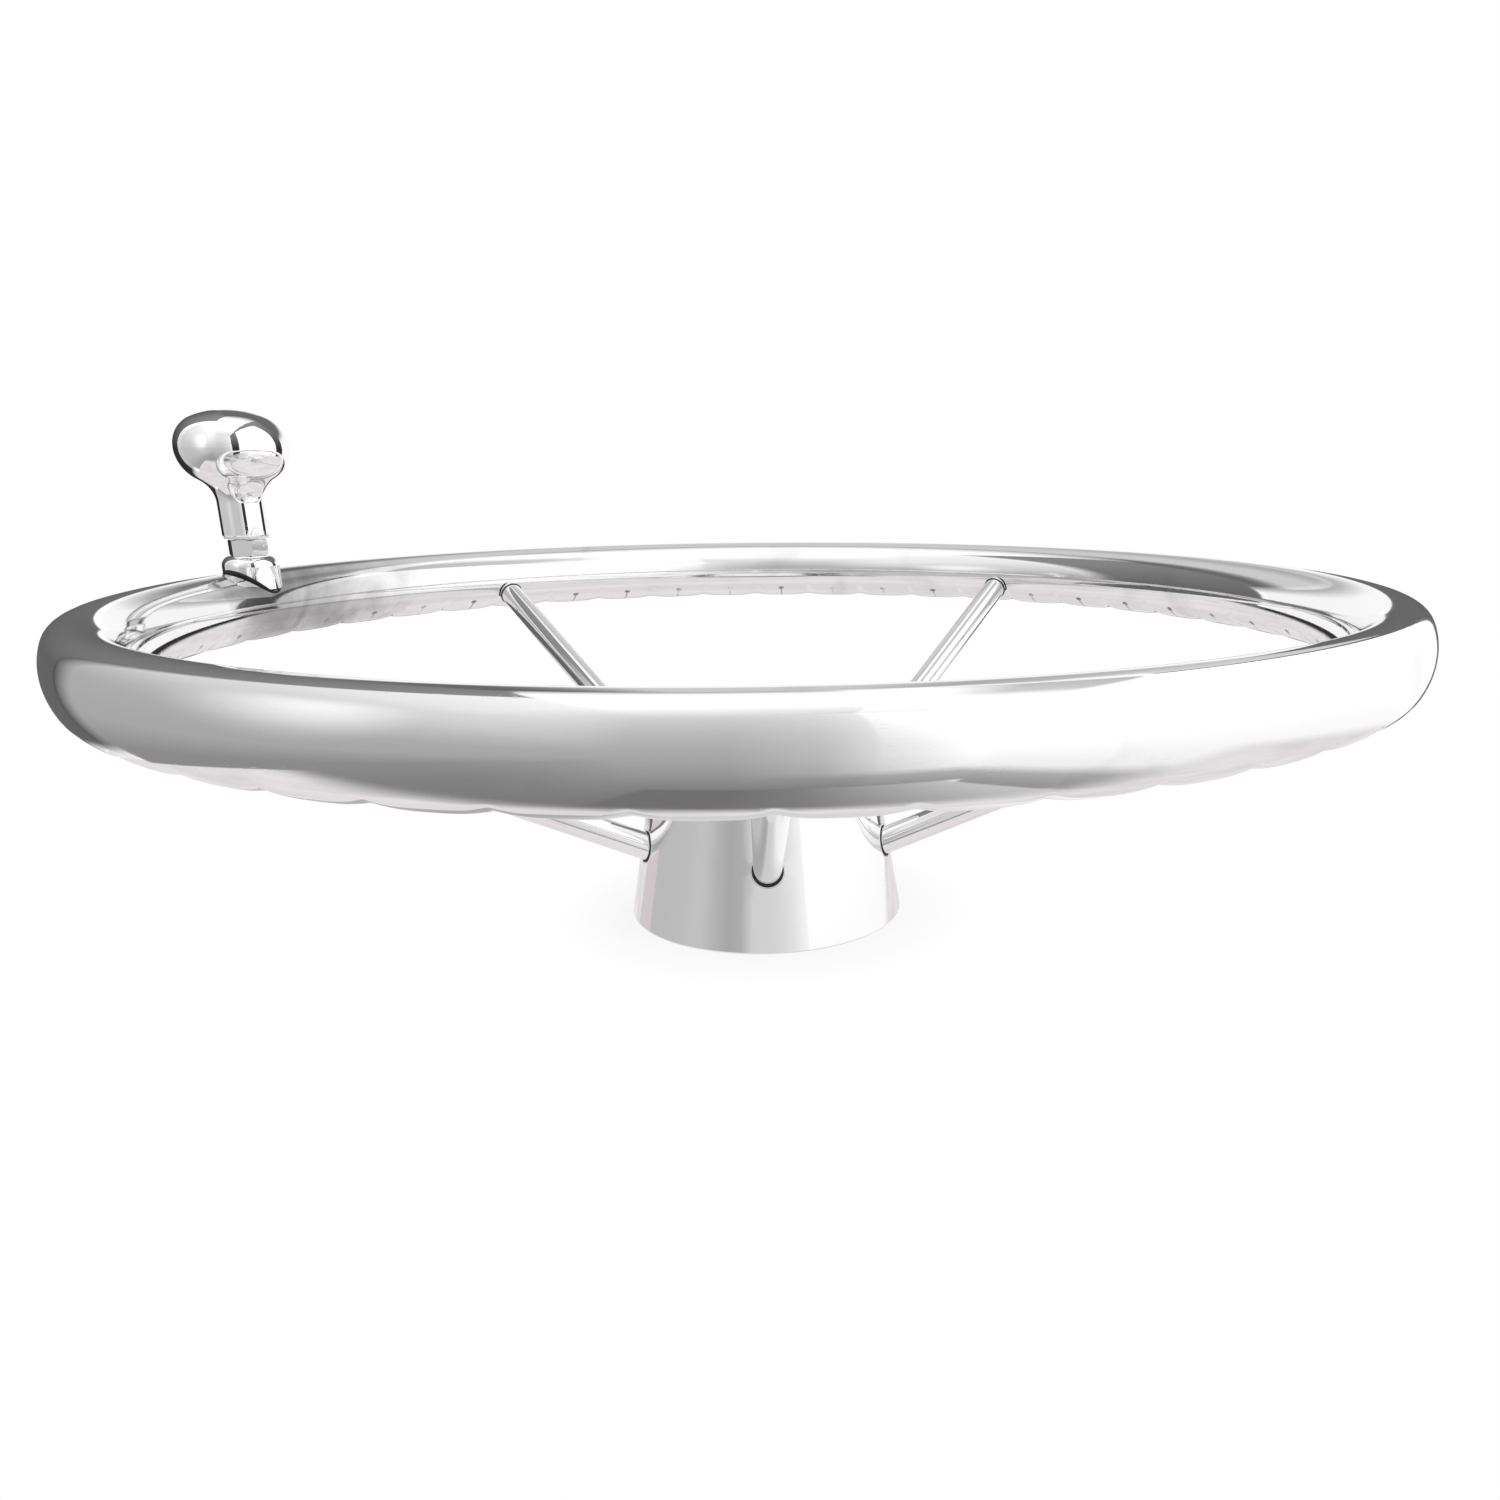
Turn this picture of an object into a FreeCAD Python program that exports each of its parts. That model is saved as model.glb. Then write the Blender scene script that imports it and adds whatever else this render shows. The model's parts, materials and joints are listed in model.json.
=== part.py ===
import FreeCAD, Part
import math
import os
import Sketcher

# Stainless boat steering wheel, standing on the base of its hub
# Origin at the centre of the hub's base, +Z along the wheel's axis towards the person steering
# The front spoke points along -Y

SIZES = {
    # Wheel as a whole
    "rim_outer_radius": 171.5,
    "rim_height": 95.0,
    "spoke_count": 5,
    # Rim tube, its outer side flatter than its inner side
    "tube_height": 20.6,
    "tube_crest_inset": 7.1,
    "tube_outer_face_radius": 16.0,
    "tube_wall": 1.5,
    # Finger grooves pressed into the underside of the rim
    "groove_count": 48,
    "groove_depth": 0.9,
    "groove_width": 18.0,
    "groove_tip_radius": 10.08,
    "groove_inset": 0.75,
    "groove_rise": 0.62,
    # Spokes
    "spoke_radius": 3.9,
    "spoke_hub_height": 22.75,
    "spoke_rim_insertion": 6.0,
    "spoke_socket_depth": 4.0,
    "spoke_rim_clearance": 0.2,
    "spoke_cover_clearance": 0.4,
    # Hub cover
    "hub_base_radius": 40.0,
    "hub_cone_angle": 10.0,
    "hub_height": 49.0,
    "cover_wall": 2.0,
    "cover_edge_radius": 2.5,
    "cover_base_chamfer": 0.5,
    # Hub boss
    "boss_radius": 17.0,
    "boss_base_height": 2.5,
    "taper_radius": 9.525,
    "taper_length": 30.0,
    "taper_per_side": 0.04167,
    "key_width": 4.76,
    "key_depth": 2.4,
    "boss_spigot_radius": 14.0,
    "weld_gap": 0.1,
    # Cup on the boss, for the nut and the cap
    "cup_radius": 21.0,
    "cup_wall": 3.5,
    "cup_floor": 4.5,
    # Wheel nut and its washer
    "washer_radius": 17.0,
    "washer_bore_radius": 8.4,
    "washer_thickness": 2.5,
    "wheel_nut_flats": 23.8,
    "wheel_nut_height": 10.0,
    "wheel_nut_bore_radius": 7.4,
    "wheel_nut_turn": 15.0,
    # Centre cap and its rubber ring
    "cap_radius": 26.3,
    "cap_crown": 3.8,
    "cap_edge": 1.2,
    "cap_skirt_wall": 3.2,
    "cap_skirt_clearance": 0.4,
    "cap_skirt_depth": 6.5,
    "cap_ring_width": 2.0,
    "cap_ring_inset": 3.4,
    # Place of the knob on the rim
    "knob_axis_inset": 1.9,
    "knob_azimuth": 162.0,
    # Knob foot
    "insert_radius": 6.0,
    "insert_length": 10.0,
    "insert_clearance": 0.05,
    "saddle_radius": 8.1,
    "saddle_rise": 4.7,
    "saddle_skirt": 5.0,
    "saddle_edge_radius": 3.0,
    "saddle_seat_gap": 0.6,
    "lock_nut_flats": 10.0,
    "lock_nut_height": 4.8,
    "lock_nut_turn": 19.0,
    # Knob spindle
    "thread_radius": 3.0,
    "thread_clearance": 0.1,
    "stud_depth": 8.5,
    "shank_radius": 3.5,
    "shank_end_gap": 2.0,
    "running_clearance": 0.05,
    "axial_clearance": 0.3,
    # Knob bearings and retaining clip
    "knob_bore_radius": 5.0,
    "bush_flange_radius": 6.3,
    "bush_flange_thickness": 0.7,
    "lower_bush_length": 9.0,
    "bush_spacing": 3.5,
    "upper_bush_length": 7.0,
    "thrust_washer_radius": 4.6,
    "thrust_washer_thickness": 0.5,
    "clip_thickness": 0.9,
    "clip_radius": 4.6,
    "clip_groove_radius": 2.9,
    "clip_mouth_angle": 60.0,
    # Knob head
    "sleeve_radius": 6.6,
    "sleeve_length": 9.6,
    "sleeve_chamfer": 0.3,
    "head_radius": 15.75,
    "head_widest_rise": 15.4,
    "head_top_rise": 26.1,
    "head_belly_radius": 10.0,
    "head_shoulder_radius": 9.5,
}

# Two edges whose radius and height differ by less than this are the same edge
SAME_EDGE = 0.01

doc = FreeCAD.newDocument("SteeringWheel")
sheet = doc.addObject("Spreadsheet::Sheet", "Sizes")


def enter(row, alias, content):
    """Write one named line of the sheet."""
    sheet.set(f"A{row}", alias)
    sheet.set(f"B{row}", content)
    sheet.setAlias(f"B{row}", alias)


for row, (alias, number) in enumerate(SIZES.items(), start=1):
    enter(row, alias, str(number))
doc.recompute()


class Size:
    """A number worked out from the sheet, together with the expression that says how."""

    def __init__(self, value, text):
        self.value = value
        self.text = text

    def __add__(self, other):
        other = as_size(other)
        return Size(self.value + other.value, f"({self.text} + {other.text})")

    def __radd__(self, other):
        return as_size(other) + self

    def __sub__(self, other):
        other = as_size(other)
        return Size(self.value - other.value, f"({self.text} - {other.text})")

    def __rsub__(self, other):
        return as_size(other) - self

    def __mul__(self, other):
        other = as_size(other)
        return Size(self.value * other.value, f"({self.text} * {other.text})")

    def __rmul__(self, other):
        return as_size(other) * self

    def __truediv__(self, other):
        other = as_size(other)
        return Size(self.value / other.value, f"({self.text} / {other.text})")

    def __rtruediv__(self, other):
        return as_size(other) / self

    def __neg__(self):
        return Size(-self.value, f"(0 - {self.text})")


def as_size(number):
    """Take a Size as it is, and a plain number as a constant."""
    if isinstance(number, Size):
        return number
    return Size(float(number), f"{float(number):.9g}")


def sine(angle):
    """Sine of an angle in degrees."""
    return Size(math.sin(math.radians(angle.value)), f"sin({angle.text} * 1 deg)")


def cosine(angle):
    """Cosine of an angle in degrees."""
    return Size(math.cos(math.radians(angle.value)), f"cos({angle.text} * 1 deg)")


def tangent(angle):
    """Tangent of an angle in degrees."""
    return Size(math.tan(math.radians(angle.value)), f"tan({angle.text} * 1 deg)")


def slope_angle(rise, run):
    """Angle in degrees of a line with that rise over that run."""
    value = math.degrees(math.atan2(rise.value, run.value))
    return Size(value, f"(atan({rise.text} / {run.text}) / 1 deg)")


def named(alias):
    """The sheet's value of that name."""
    return Size(float(sheet.get(alias)), f"Sizes.{alias}")


def derive(alias, size):
    """Add a worked-out value to the sheet as a formula."""
    row = len(sheet.getUsedCells()) // 2 + 1
    enter(row, alias, "=" + size.text.replace("Sizes.", ""))
    doc.recompute()
    return named(alias)


def bind(target, path, size):
    """Bind a property of an object to the sheet."""
    target.setExpression(path, as_size(size).text)


ZERO = as_size(0)

# Heights and radii that several pieces share
half_tube = derive("half_tube", named("tube_height") / 2)
tube_centre_height = derive("tube_centre_height", named("rim_height") - half_tube)
crest_radius = derive("crest_radius", named("rim_outer_radius") - named("tube_crest_inset"))
rim_inner_radius = derive("rim_inner_radius", crest_radius - half_tube)
knob_circle_radius = derive("knob_circle_radius", crest_radius - named("knob_axis_inset"))
hub_taper = derive("hub_taper", tangent(named("hub_cone_angle")))
spoke_hub_radius = derive(
    "spoke_hub_radius", named("hub_base_radius") - named("spoke_hub_height") * hub_taper)
spoke_slope = derive("spoke_slope", slope_angle(
    tube_centre_height - named("spoke_hub_height"), crest_radius - spoke_hub_radius))
spoke_end_radius = derive("spoke_end_radius", rim_inner_radius + named("spoke_rim_insertion"))
cup_floor_height = derive("cup_floor_height", named("boss_base_height") + named("taper_length"))
cup_bottom = derive("cup_bottom", cup_floor_height - named("cup_floor"))
lip_radius = derive("lip_radius", named("cup_radius") + named("cup_wall"))
washer_top = derive("washer_top", cup_floor_height + named("washer_thickness"))

# Heights on the knob's axis, measured from the rim's crest
lock_nut_top = derive("lock_nut_top", named("saddle_rise") + named("lock_nut_height"))
bush_bottom = derive("bush_bottom", lock_nut_top + named("axial_clearance"))
sleeve_bottom = derive("sleeve_bottom", bush_bottom + named("bush_flange_thickness"))
lower_bush_top = derive("lower_bush_top", sleeve_bottom + named("lower_bush_length"))
upper_bush_bottom = derive("upper_bush_bottom", lower_bush_top + named("bush_spacing"))
upper_bush_top = derive("upper_bush_top", upper_bush_bottom + named("upper_bush_length"))
thrust_washer_top = derive("thrust_washer_top", upper_bush_top + named("thrust_washer_thickness"))
clip_bottom = derive("clip_bottom", thrust_washer_top + named("axial_clearance"))
clip_top = derive("clip_top", clip_bottom + named("clip_thickness"))
shank_top = derive("shank_top", clip_top + named("shank_end_gap"))
bush_bore_radius = derive("bush_bore_radius", named("shank_radius") + named("running_clearance"))


def spoke_height(radius):
    """Height of a spoke's axis at a distance from the wheel's axis."""
    return named("spoke_hub_height") + (radius - spoke_hub_radius) * tangent(spoke_slope)


def new_body(label):
    """Start one sub-part."""
    body = doc.addObject("PartDesign::Body", label)
    body.Label = label
    return body


def origin_feature(body, role):
    """One of the body's own origin planes or axes."""
    return next(item for item in body.Origin.OriginFeatures if item.Role == role)


def new_sketch(body, name, role):
    """A sketch on one of the body's origin planes."""
    sketch = body.newObject("Sketcher::SketchObject", f"{body.Name}_{name}")
    sketch.AttachmentSupport = [(origin_feature(body, role), "")]
    sketch.MapMode = "FlatFace"
    return sketch


def raise_sketch(sketch, height):
    """Lift a sketch off its plane."""
    bind(sketch, "AttachmentOffset.Base.z", height)


def dimension(sketch, kind, references, size):
    """Add a dimension and bind it to the sheet."""
    size = as_size(size)
    index = sketch.addConstraint(Sketcher.Constraint(kind, *references, size.value))
    sketch.setExpression(f"Constraints[{index}]", size.text)


def fix_point(sketch, geometry, end, point):
    """Place the end of a line or arc by its two coordinates."""
    origin, horizontal_axis, vertical_axis = (-1, 1), -1, -2
    x, y = point
    if x is ZERO:
        sketch.addConstraint(Sketcher.Constraint("PointOnObject", geometry, end, vertical_axis))
    else:
        dimension(sketch, "DistanceX", (*origin, geometry, end), x)
    if y is ZERO:
        sketch.addConstraint(Sketcher.Constraint("PointOnObject", geometry, end, horizontal_axis))
    else:
        dimension(sketch, "DistanceY", (*origin, geometry, end), y)


def vector(point):
    """The present place of a sketch point."""
    return FreeCAD.Vector(point[0].value, point[1].value, 0)


def draw_polygon(sketch, corners):
    """Draw a closed outline of straight lines through corners placed by the sheet."""
    count = len(corners)
    first = sketch.GeometryCount
    for index, corner in enumerate(corners):
        following = corners[(index + 1) % count]
        sketch.addGeometry(Part.LineSegment(vector(corner), vector(following)), False)
    for index, corner in enumerate(corners):
        line = first + index
        sketch.addConstraint(Sketcher.Constraint("Coincident", line, 2, first + (index + 1) % count, 1))
        fix_point(sketch, line, 1, corner)


def draw_chain(sketch, corners):
    """Draw an open chain of straight lines through corners placed by the sheet."""
    for start, end in zip(corners, corners[1:]):
        sketch.addGeometry(Part.LineSegment(vector(start), vector(end)), False)
    last = len(corners) - 2
    for line in range(last):
        sketch.addConstraint(Sketcher.Constraint("Coincident", line, 2, line + 1, 1))
        fix_point(sketch, line, 1, corners[line])
    fix_point(sketch, last, 1, corners[last])
    fix_point(sketch, last, 2, corners[last + 1])
    return last


def draw_circle(sketch, centre, radius):
    """Draw a circle placed by the sheet."""
    up = FreeCAD.Vector(0, 0, 1)
    circle = sketch.addGeometry(Part.Circle(vector(centre), up, radius.value), False)
    dimension(sketch, "Radius", (circle,), radius)
    if centre[0] is ZERO and centre[1] is ZERO:
        sketch.addConstraint(Sketcher.Constraint("Coincident", circle, 3, -1, 1))
    else:
        fix_point(sketch, circle, 3, centre)
    return circle


def draw_axis(sketch, start, end):
    """Draw a construction line for a turned feature to turn about."""
    line = sketch.addGeometry(Part.LineSegment(vector(start), vector(end)), True)
    fix_point(sketch, line, 1, start)
    fix_point(sketch, line, 2, end)


def add_arc(sketch, centre, radius, start, end):
    """Draw an arc between two angles in degrees, as plain numbers for a first drawing."""
    circle = Part.Circle(FreeCAD.Vector(*centre, 0), FreeCAD.Vector(0, 0, 1), radius)
    arc = Part.ArcOfCircle(circle, math.radians(start), math.radians(end))
    return sketch.addGeometry(arc, False)


def heading(start, end):
    """Direction from one point to another in degrees, from 0 to 360."""
    return math.degrees(math.atan2(end[1] - start[1], end[0] - start[0])) % 360


def draw_tube_section(sketch, grow=ZERO, axis_shift=ZERO, centre_height=tube_centre_height):
    """Draw the rim tube's outline: a half circle inside, and a flatter outer side of three arcs."""
    half_height = half_tube + grow
    face_radius = named("tube_outer_face_radius") + grow
    face_x = named("rim_outer_radius") - named("tube_outer_face_radius") - axis_shift
    crest_x = crest_radius - axis_shift

    # The shoulder arc is level at the crest and runs smoothly into the outer face
    reach = crest_x.value - face_x.value
    rise = half_height.value
    face = face_radius.value
    shoulder = (face ** 2 - reach ** 2 - rise ** 2) / (2 * (face - rise))
    centre_y = centre_height.value
    face_centre = (face_x.value, centre_y)
    crest_centre = (crest_x.value, centre_y)
    upper_centre = (crest_x.value, centre_y + rise - shoulder)
    lower_centre = (crest_x.value, centre_y - rise + shoulder)
    turn_over = heading(face_centre, upper_centre)

    outer = add_arc(sketch, face_centre, face, -turn_over, turn_over)
    upper = add_arc(sketch, upper_centre, shoulder, turn_over, 90)
    inner = add_arc(sketch, crest_centre, rise, 90, 270)
    lower = add_arc(sketch, lower_centre, shoulder, 270, 360 - turn_over)
    ring = [outer, upper, inner, lower]
    for arc, following in zip(ring, ring[1:] + ring[:1]):
        sketch.addConstraint(Sketcher.Constraint("Tangent", arc, 2, following, 1))
    sketch.addConstraint(Sketcher.Constraint("Equal", upper, lower))
    sketch.addConstraint(Sketcher.Constraint("Vertical", upper, 3, inner, 3))
    dimension(sketch, "Radius", (outer,), face_radius)
    dimension(sketch, "Radius", (inner,), half_height)
    fix_point(sketch, outer, 3, (face_x, centre_height))
    fix_point(sketch, inner, 3, (crest_x, centre_height))


def turn(body, sketch, name, kind="PartDesign::Revolution", axis="V_Axis"):
    """Turn a sketch a full circle about its own axis, to add or to cut."""
    feature = body.newObject(kind, f"{body.Name}_{name}")
    feature.Profile = sketch
    feature.ReferenceAxis = (sketch, [axis])
    feature.Angle = 360
    sketch.Visibility = False
    return feature


def pad(body, sketch, name, length):
    """Pad a sketch along its normal."""
    feature = body.newObject("PartDesign::Pad", f"{body.Name}_{name}")
    feature.Profile = sketch
    bind(feature, "Length", length)
    return feature


def pocket(body, sketch, name, length, along_normal=False):
    """Cut a sketch against its normal, or along it."""
    feature = body.newObject("PartDesign::Pocket", f"{body.Name}_{name}")
    feature.Profile = sketch
    feature.Reversed = along_normal
    bind(feature, "Length", length)
    return feature


def repeat_round(body, feature, name, count):
    """Repeat a feature evenly about the wheel's axis."""
    pattern = body.newObject("PartDesign::PolarPattern", f"{body.Name}_{name}")
    pattern.Originals = [feature]
    pattern.Axis = (origin_feature(body, "Z_Axis"), [""])
    pattern.Angle = 360
    bind(pattern, "Occurrences", count)
    body.Tip = pattern
    return pattern


def round_edges(body, kind, name, size, radius, height):
    """Fillet or chamfer the circular edges at a radius and a height."""
    doc.recompute()
    base = body.Tip
    names = []
    for index, edge in enumerate(base.Shape.Edges, start=1):
        if not isinstance(edge.Curve, Part.Circle):
            continue
        same_radius = abs(edge.Curve.Radius - radius.value) < SAME_EDGE
        if same_radius and abs(edge.Curve.Center.z - height.value) < SAME_EDGE:
            names.append(f"Edge{index}")
    feature = body.newObject(kind, f"{body.Name}_{name}")
    feature.Base = (base, names)
    bind(feature, "Radius" if kind.endswith("Fillet") else "Size", size)
    return feature


def spoke_sketch(body, name, start_radius):
    """A sketch square to the front spoke's axis, where that axis is at a given radius."""
    sketch = new_sketch(body, name, "XY_Plane")
    sketch.AttachmentOffset = FreeCAD.Placement(
        FreeCAD.Vector(), FreeCAD.Rotation(FreeCAD.Vector(1, 0, 0), 90 - spoke_slope.value))
    bind(sketch, "AttachmentOffset.Base.y", -start_radius)
    bind(sketch, "AttachmentOffset.Base.z", spoke_height(start_radius))
    bind(sketch, "AttachmentOffset.Rotation.Angle", 90 - spoke_slope)
    return sketch


def along_spoke(start_radius, end_radius):
    """Length of spoke between two distances from the wheel's axis."""
    return (end_radius - start_radius) / cosine(spoke_slope)


def place_on_knob_axis(body):
    """Put a body's origin on the rim's crest line at the knob, its X axis pointing outward."""
    azimuth = named("knob_azimuth")
    bind(body, "Placement.Base.x", knob_circle_radius * cosine(azimuth))
    bind(body, "Placement.Base.y", knob_circle_radius * sine(azimuth))
    bind(body, "Placement.Base.z", named("rim_height"))
    bind(body, "Placement.Rotation.Angle", azimuth)


def turned_body(label, corners):
    """A body turned from a straight-sided outline given as radius and height pairs."""
    body = new_body(label)
    sketch = new_sketch(body, "outline", "XZ_Plane")
    draw_polygon(sketch, corners)
    turn(body, sketch, "turned")
    return body


def tube_piece(label, inner_radius, outer_radius, bottom, top):
    """A plain ring or sleeve."""
    return turned_body(label, [
        (inner_radius, bottom),
        (outer_radius, bottom),
        (outer_radius, top),
        (inner_radius, top),
    ])


# Rim

def draw_groove_cutter(sketch, line_radius):
    """Draw a V with bowed flanks, and the line that it turns about."""
    half_width = named("groove_width") / 2
    depth = named("groove_depth")
    tip = (ZERO, -(line_radius + named("groove_tip_radius")))
    left_mouth = (-half_width, tip[1] - depth)
    right_mouth = (half_width, tip[1] - depth)
    flank = (half_width * half_width / depth + depth) / 2
    flank_centre_y = left_mouth[1].value + flank.value
    left_centre = (left_mouth[0].value, flank_centre_y)
    right_centre = (right_mouth[0].value, flank_centre_y)
    to_tip = heading(left_centre, (0.0, tip[1].value))
    left_flank = add_arc(sketch, left_centre, flank.value, 270, to_tip)
    right_flank = add_arc(sketch, right_centre, flank.value, 540 - to_tip, 270)
    mouth = sketch.addGeometry(Part.LineSegment(vector(right_mouth), vector(left_mouth)), False)
    ring = [left_flank, right_flank, mouth]
    for edge, following in zip(ring, ring[1:] + ring[:1]):
        sketch.addConstraint(Sketcher.Constraint("Coincident", edge, 2, following, 1))
    fix_point(sketch, left_flank, 2, tip)
    fix_point(sketch, mouth, 1, right_mouth)
    fix_point(sketch, mouth, 2, left_mouth)
    dimension(sketch, "Radius", (left_flank,), flank)
    dimension(sketch, "Radius", (right_flank,), flank)
    draw_axis(sketch, (-half_width, -line_radius), (half_width, -line_radius))


def make_rim():
    """The hollow ring, its finger grooves, and the holes for the spokes and the knob's insert."""
    body = new_body("rim")
    section = new_sketch(body, "section", "XZ_Plane")
    draw_tube_section(section)
    hollow_inset = named("tube_wall") + named("groove_depth") / 2
    draw_tube_section(section, -hollow_inset, ZERO, tube_centre_height + named("groove_depth") / 2)
    turn(body, section, "ring")

    # The cutter turns about a line above and inside the tube's centre
    # It bites only into the underside, and each groove fades out on both sides
    cutter = new_sketch(body, "groove_cutter", "XY_Plane")
    raise_sketch(cutter, tube_centre_height + named("groove_rise"))
    draw_groove_cutter(cutter, crest_radius - named("groove_inset"))
    groove = turn(body, cutter, "groove", "PartDesign::Groove", "Axis0")
    repeat_round(body, groove, "grooves", named("groove_count"))

    start = rim_inner_radius - 2 * named("spoke_radius")
    hole = spoke_sketch(body, "spoke_hole", start)
    draw_circle(hole, (ZERO, ZERO), named("spoke_radius") + named("spoke_rim_clearance"))
    cut = pocket(body, hole, "hole", along_spoke(start, spoke_end_radius), along_normal=True)
    repeat_round(body, cut, "spoke_holes", named("spoke_count"))

    azimuth = named("knob_azimuth")
    drilled = new_sketch(body, "insert_hole", "XY_Plane")
    raise_sketch(drilled, named("rim_height"))
    centre = (knob_circle_radius * cosine(azimuth), knob_circle_radius * sine(azimuth))
    draw_circle(drilled, centre, named("insert_radius") + named("insert_clearance"))
    pocket(body, drilled, "insert_seat", named("insert_length"))
    return body


# Spokes

def make_spoke(index):
    """One straight rod from its socket in the boss into the rim."""
    body = new_body(f"spoke_{index + 1}")
    start = named("boss_radius") - named("spoke_socket_depth")
    section = spoke_sketch(body, "section", start)
    draw_circle(section, (ZERO, ZERO), named("spoke_radius"))
    pad(body, section, "rod", along_spoke(start, spoke_end_radius))
    bind(body, "Placement.Rotation.Angle", 360 * index / named("spoke_count"))
    return body


# Hub

def make_hub_cover():
    """The polished cone round the boss, with a clearance hole for each spoke."""
    base = named("hub_base_radius")
    top = named("hub_height")
    plate_bottom = top - named("cover_wall")
    hole_radius = lip_radius + named("weld_gap")
    outer_top = base - top * hub_taper
    body = turned_body("hub_cover", [
        (base, ZERO),
        (outer_top, top),
        (hole_radius, top),
        (hole_radius, plate_bottom),
        (base - plate_bottom * hub_taper - named("cover_wall"), plate_bottom),
        (base - named("cover_wall"), ZERO),
    ])
    round_edges(body, "PartDesign::Fillet", "top_edge", named("cover_edge_radius"), outer_top, top)
    round_edges(body, "PartDesign::Chamfer", "base_edge", named("cover_base_chamfer"), base, ZERO)
    start = base + named("cover_wall")
    end = spoke_hub_radius - named("cover_wall") - named("spoke_radius")
    hole = spoke_sketch(body, "spoke_hole", start)
    draw_circle(hole, (ZERO, ZERO), named("spoke_radius") + named("spoke_cover_clearance"))
    cut = pocket(body, hole, "hole", along_spoke(end, start))
    repeat_round(body, cut, "spoke_holes", named("spoke_count"))
    return body


def make_hub_boss():
    """The turned core: tapered bore with a keyway, spoke sockets, and a spigot for the cup."""
    bottom = named("boss_base_height")
    bore_top = named("taper_radius") - named("taper_length") * named("taper_per_side")
    body = turned_body("hub_boss", [
        (named("taper_radius"), bottom),
        (named("boss_radius"), bottom),
        (named("boss_radius"), cup_bottom),
        (named("boss_spigot_radius"), cup_bottom),
        (named("boss_spigot_radius"), cup_floor_height),
        (bore_top, cup_floor_height),
    ])

    keyway = new_sketch(body, "keyway", "XY_Plane")
    raise_sketch(keyway, bottom)
    half_key = named("key_width") / 2
    key_end = named("taper_radius") + named("key_depth")
    draw_polygon(keyway, [
        (-half_key, ZERO),
        (half_key, ZERO),
        (half_key, key_end),
        (-half_key, key_end),
    ])
    pocket(body, keyway, "keyway_cut", named("taper_length"), along_normal=True)

    start = named("boss_radius") + named("spoke_radius")
    end = named("boss_radius") - named("spoke_socket_depth")
    socket = spoke_sketch(body, "spoke_socket", start)
    draw_circle(socket, (ZERO, ZERO), named("spoke_radius"))
    cut = pocket(body, socket, "socket", along_spoke(end, start))
    repeat_round(body, cut, "spoke_sockets", named("spoke_count"))
    return body


def make_hub_cup():
    """The cup welded round the boss's spigot, which holds the nut and the cap."""
    top = named("hub_height")
    hole_radius = named("boss_spigot_radius") + named("weld_gap")
    return turned_body("hub_cup", [
        (hole_radius, cup_bottom),
        (lip_radius, cup_bottom),
        (lip_radius, top),
        (named("cup_radius"), top),
        (named("cup_radius"), cup_floor_height),
        (hole_radius, cup_floor_height),
    ])


def make_nut(label, name, bore_radius, bottom):
    """A hexagon nut with its corners turned off at both faces, sized by the sheet under a name."""
    body = new_body(label)
    half_flats = named(f"{name}_flats") / 2
    corner = half_flats / cosine(as_size(30))
    top = bottom + named(f"{name}_height")
    hexagon = new_sketch(body, "hexagon", "XY_Plane")
    raise_sketch(hexagon, bottom)
    corners = []
    for index in range(6):
        angle = named(f"{name}_turn") + 60 * index
        corners.append((corner * cosine(angle), corner * sine(angle)))
    draw_polygon(hexagon, corners)
    draw_circle(hexagon, (ZERO, ZERO), bore_radius)
    pad(body, hexagon, "prism", named(f"{name}_height"))

    # The bevels start at the flats and fall at 30 degrees past the corners
    past_corner = 2 * corner
    drop = (past_corner - half_flats) * tangent(as_size(30))
    for side, face, back in (("upper", top, top - drop), ("lower", bottom, bottom + drop)):
        trim = new_sketch(body, f"{side}_trim", "XZ_Plane")
        draw_polygon(trim, [
            (half_flats, face),
            (past_corner, face),
            (past_corner, back),
        ])
        turn(body, trim, f"{side}_bevel", "PartDesign::Groove")
    return body


def make_washer():
    """The washer on the cup's floor."""
    bore = named("washer_bore_radius")
    return tube_piece("hub_washer", bore, named("washer_radius"), cup_floor_height, washer_top)


def make_centre_cap():
    """The domed cap whose skirt pushes into the cup, with a groove for its rubber ring."""
    body = new_body("centre_cap")
    seat = named("hub_height")
    edge_top = seat + named("cap_edge")
    top = edge_top + named("cap_crown")
    skirt_outer = named("cup_radius") - named("cap_skirt_clearance")
    skirt_inner = skirt_outer - named("cap_skirt_wall")
    skirt_bottom = seat - named("cap_skirt_depth")
    ring_inner = named("cup_radius") - named("cap_ring_width")
    ring_bottom = seat - named("cap_ring_inset")
    ring_top = ring_bottom + named("cap_ring_width")
    sketch = new_sketch(body, "outline", "XZ_Plane")
    corners = [
        (ZERO, top),
        (ZERO, edge_top),
        (skirt_inner, edge_top),
        (skirt_inner, skirt_bottom),
        (skirt_outer, skirt_bottom),
        (skirt_outer, ring_bottom),
        (ring_inner, ring_bottom),
        (ring_inner, ring_top),
        (skirt_outer, ring_top),
        (skirt_outer, seat),
        (named("cap_radius"), seat),
        (named("cap_radius"), edge_top),
    ]
    last = draw_chain(sketch, corners)
    crown = named("cap_crown").value
    edge_radius = named("cap_radius").value
    dome_radius = (edge_radius ** 2 / crown + crown) / 2
    dome_centre = (0.0, top.value - dome_radius)
    to_edge = heading(dome_centre, (edge_radius, edge_top.value))
    dome = add_arc(sketch, dome_centre, dome_radius, to_edge, 90)
    sketch.addConstraint(Sketcher.Constraint("Coincident", dome, 1, last, 2))
    sketch.addConstraint(Sketcher.Constraint("Coincident", dome, 2, 0, 1))
    sketch.addConstraint(Sketcher.Constraint("PointOnObject", dome, 3, -2))
    turn(body, sketch, "turned")
    return body


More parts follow.
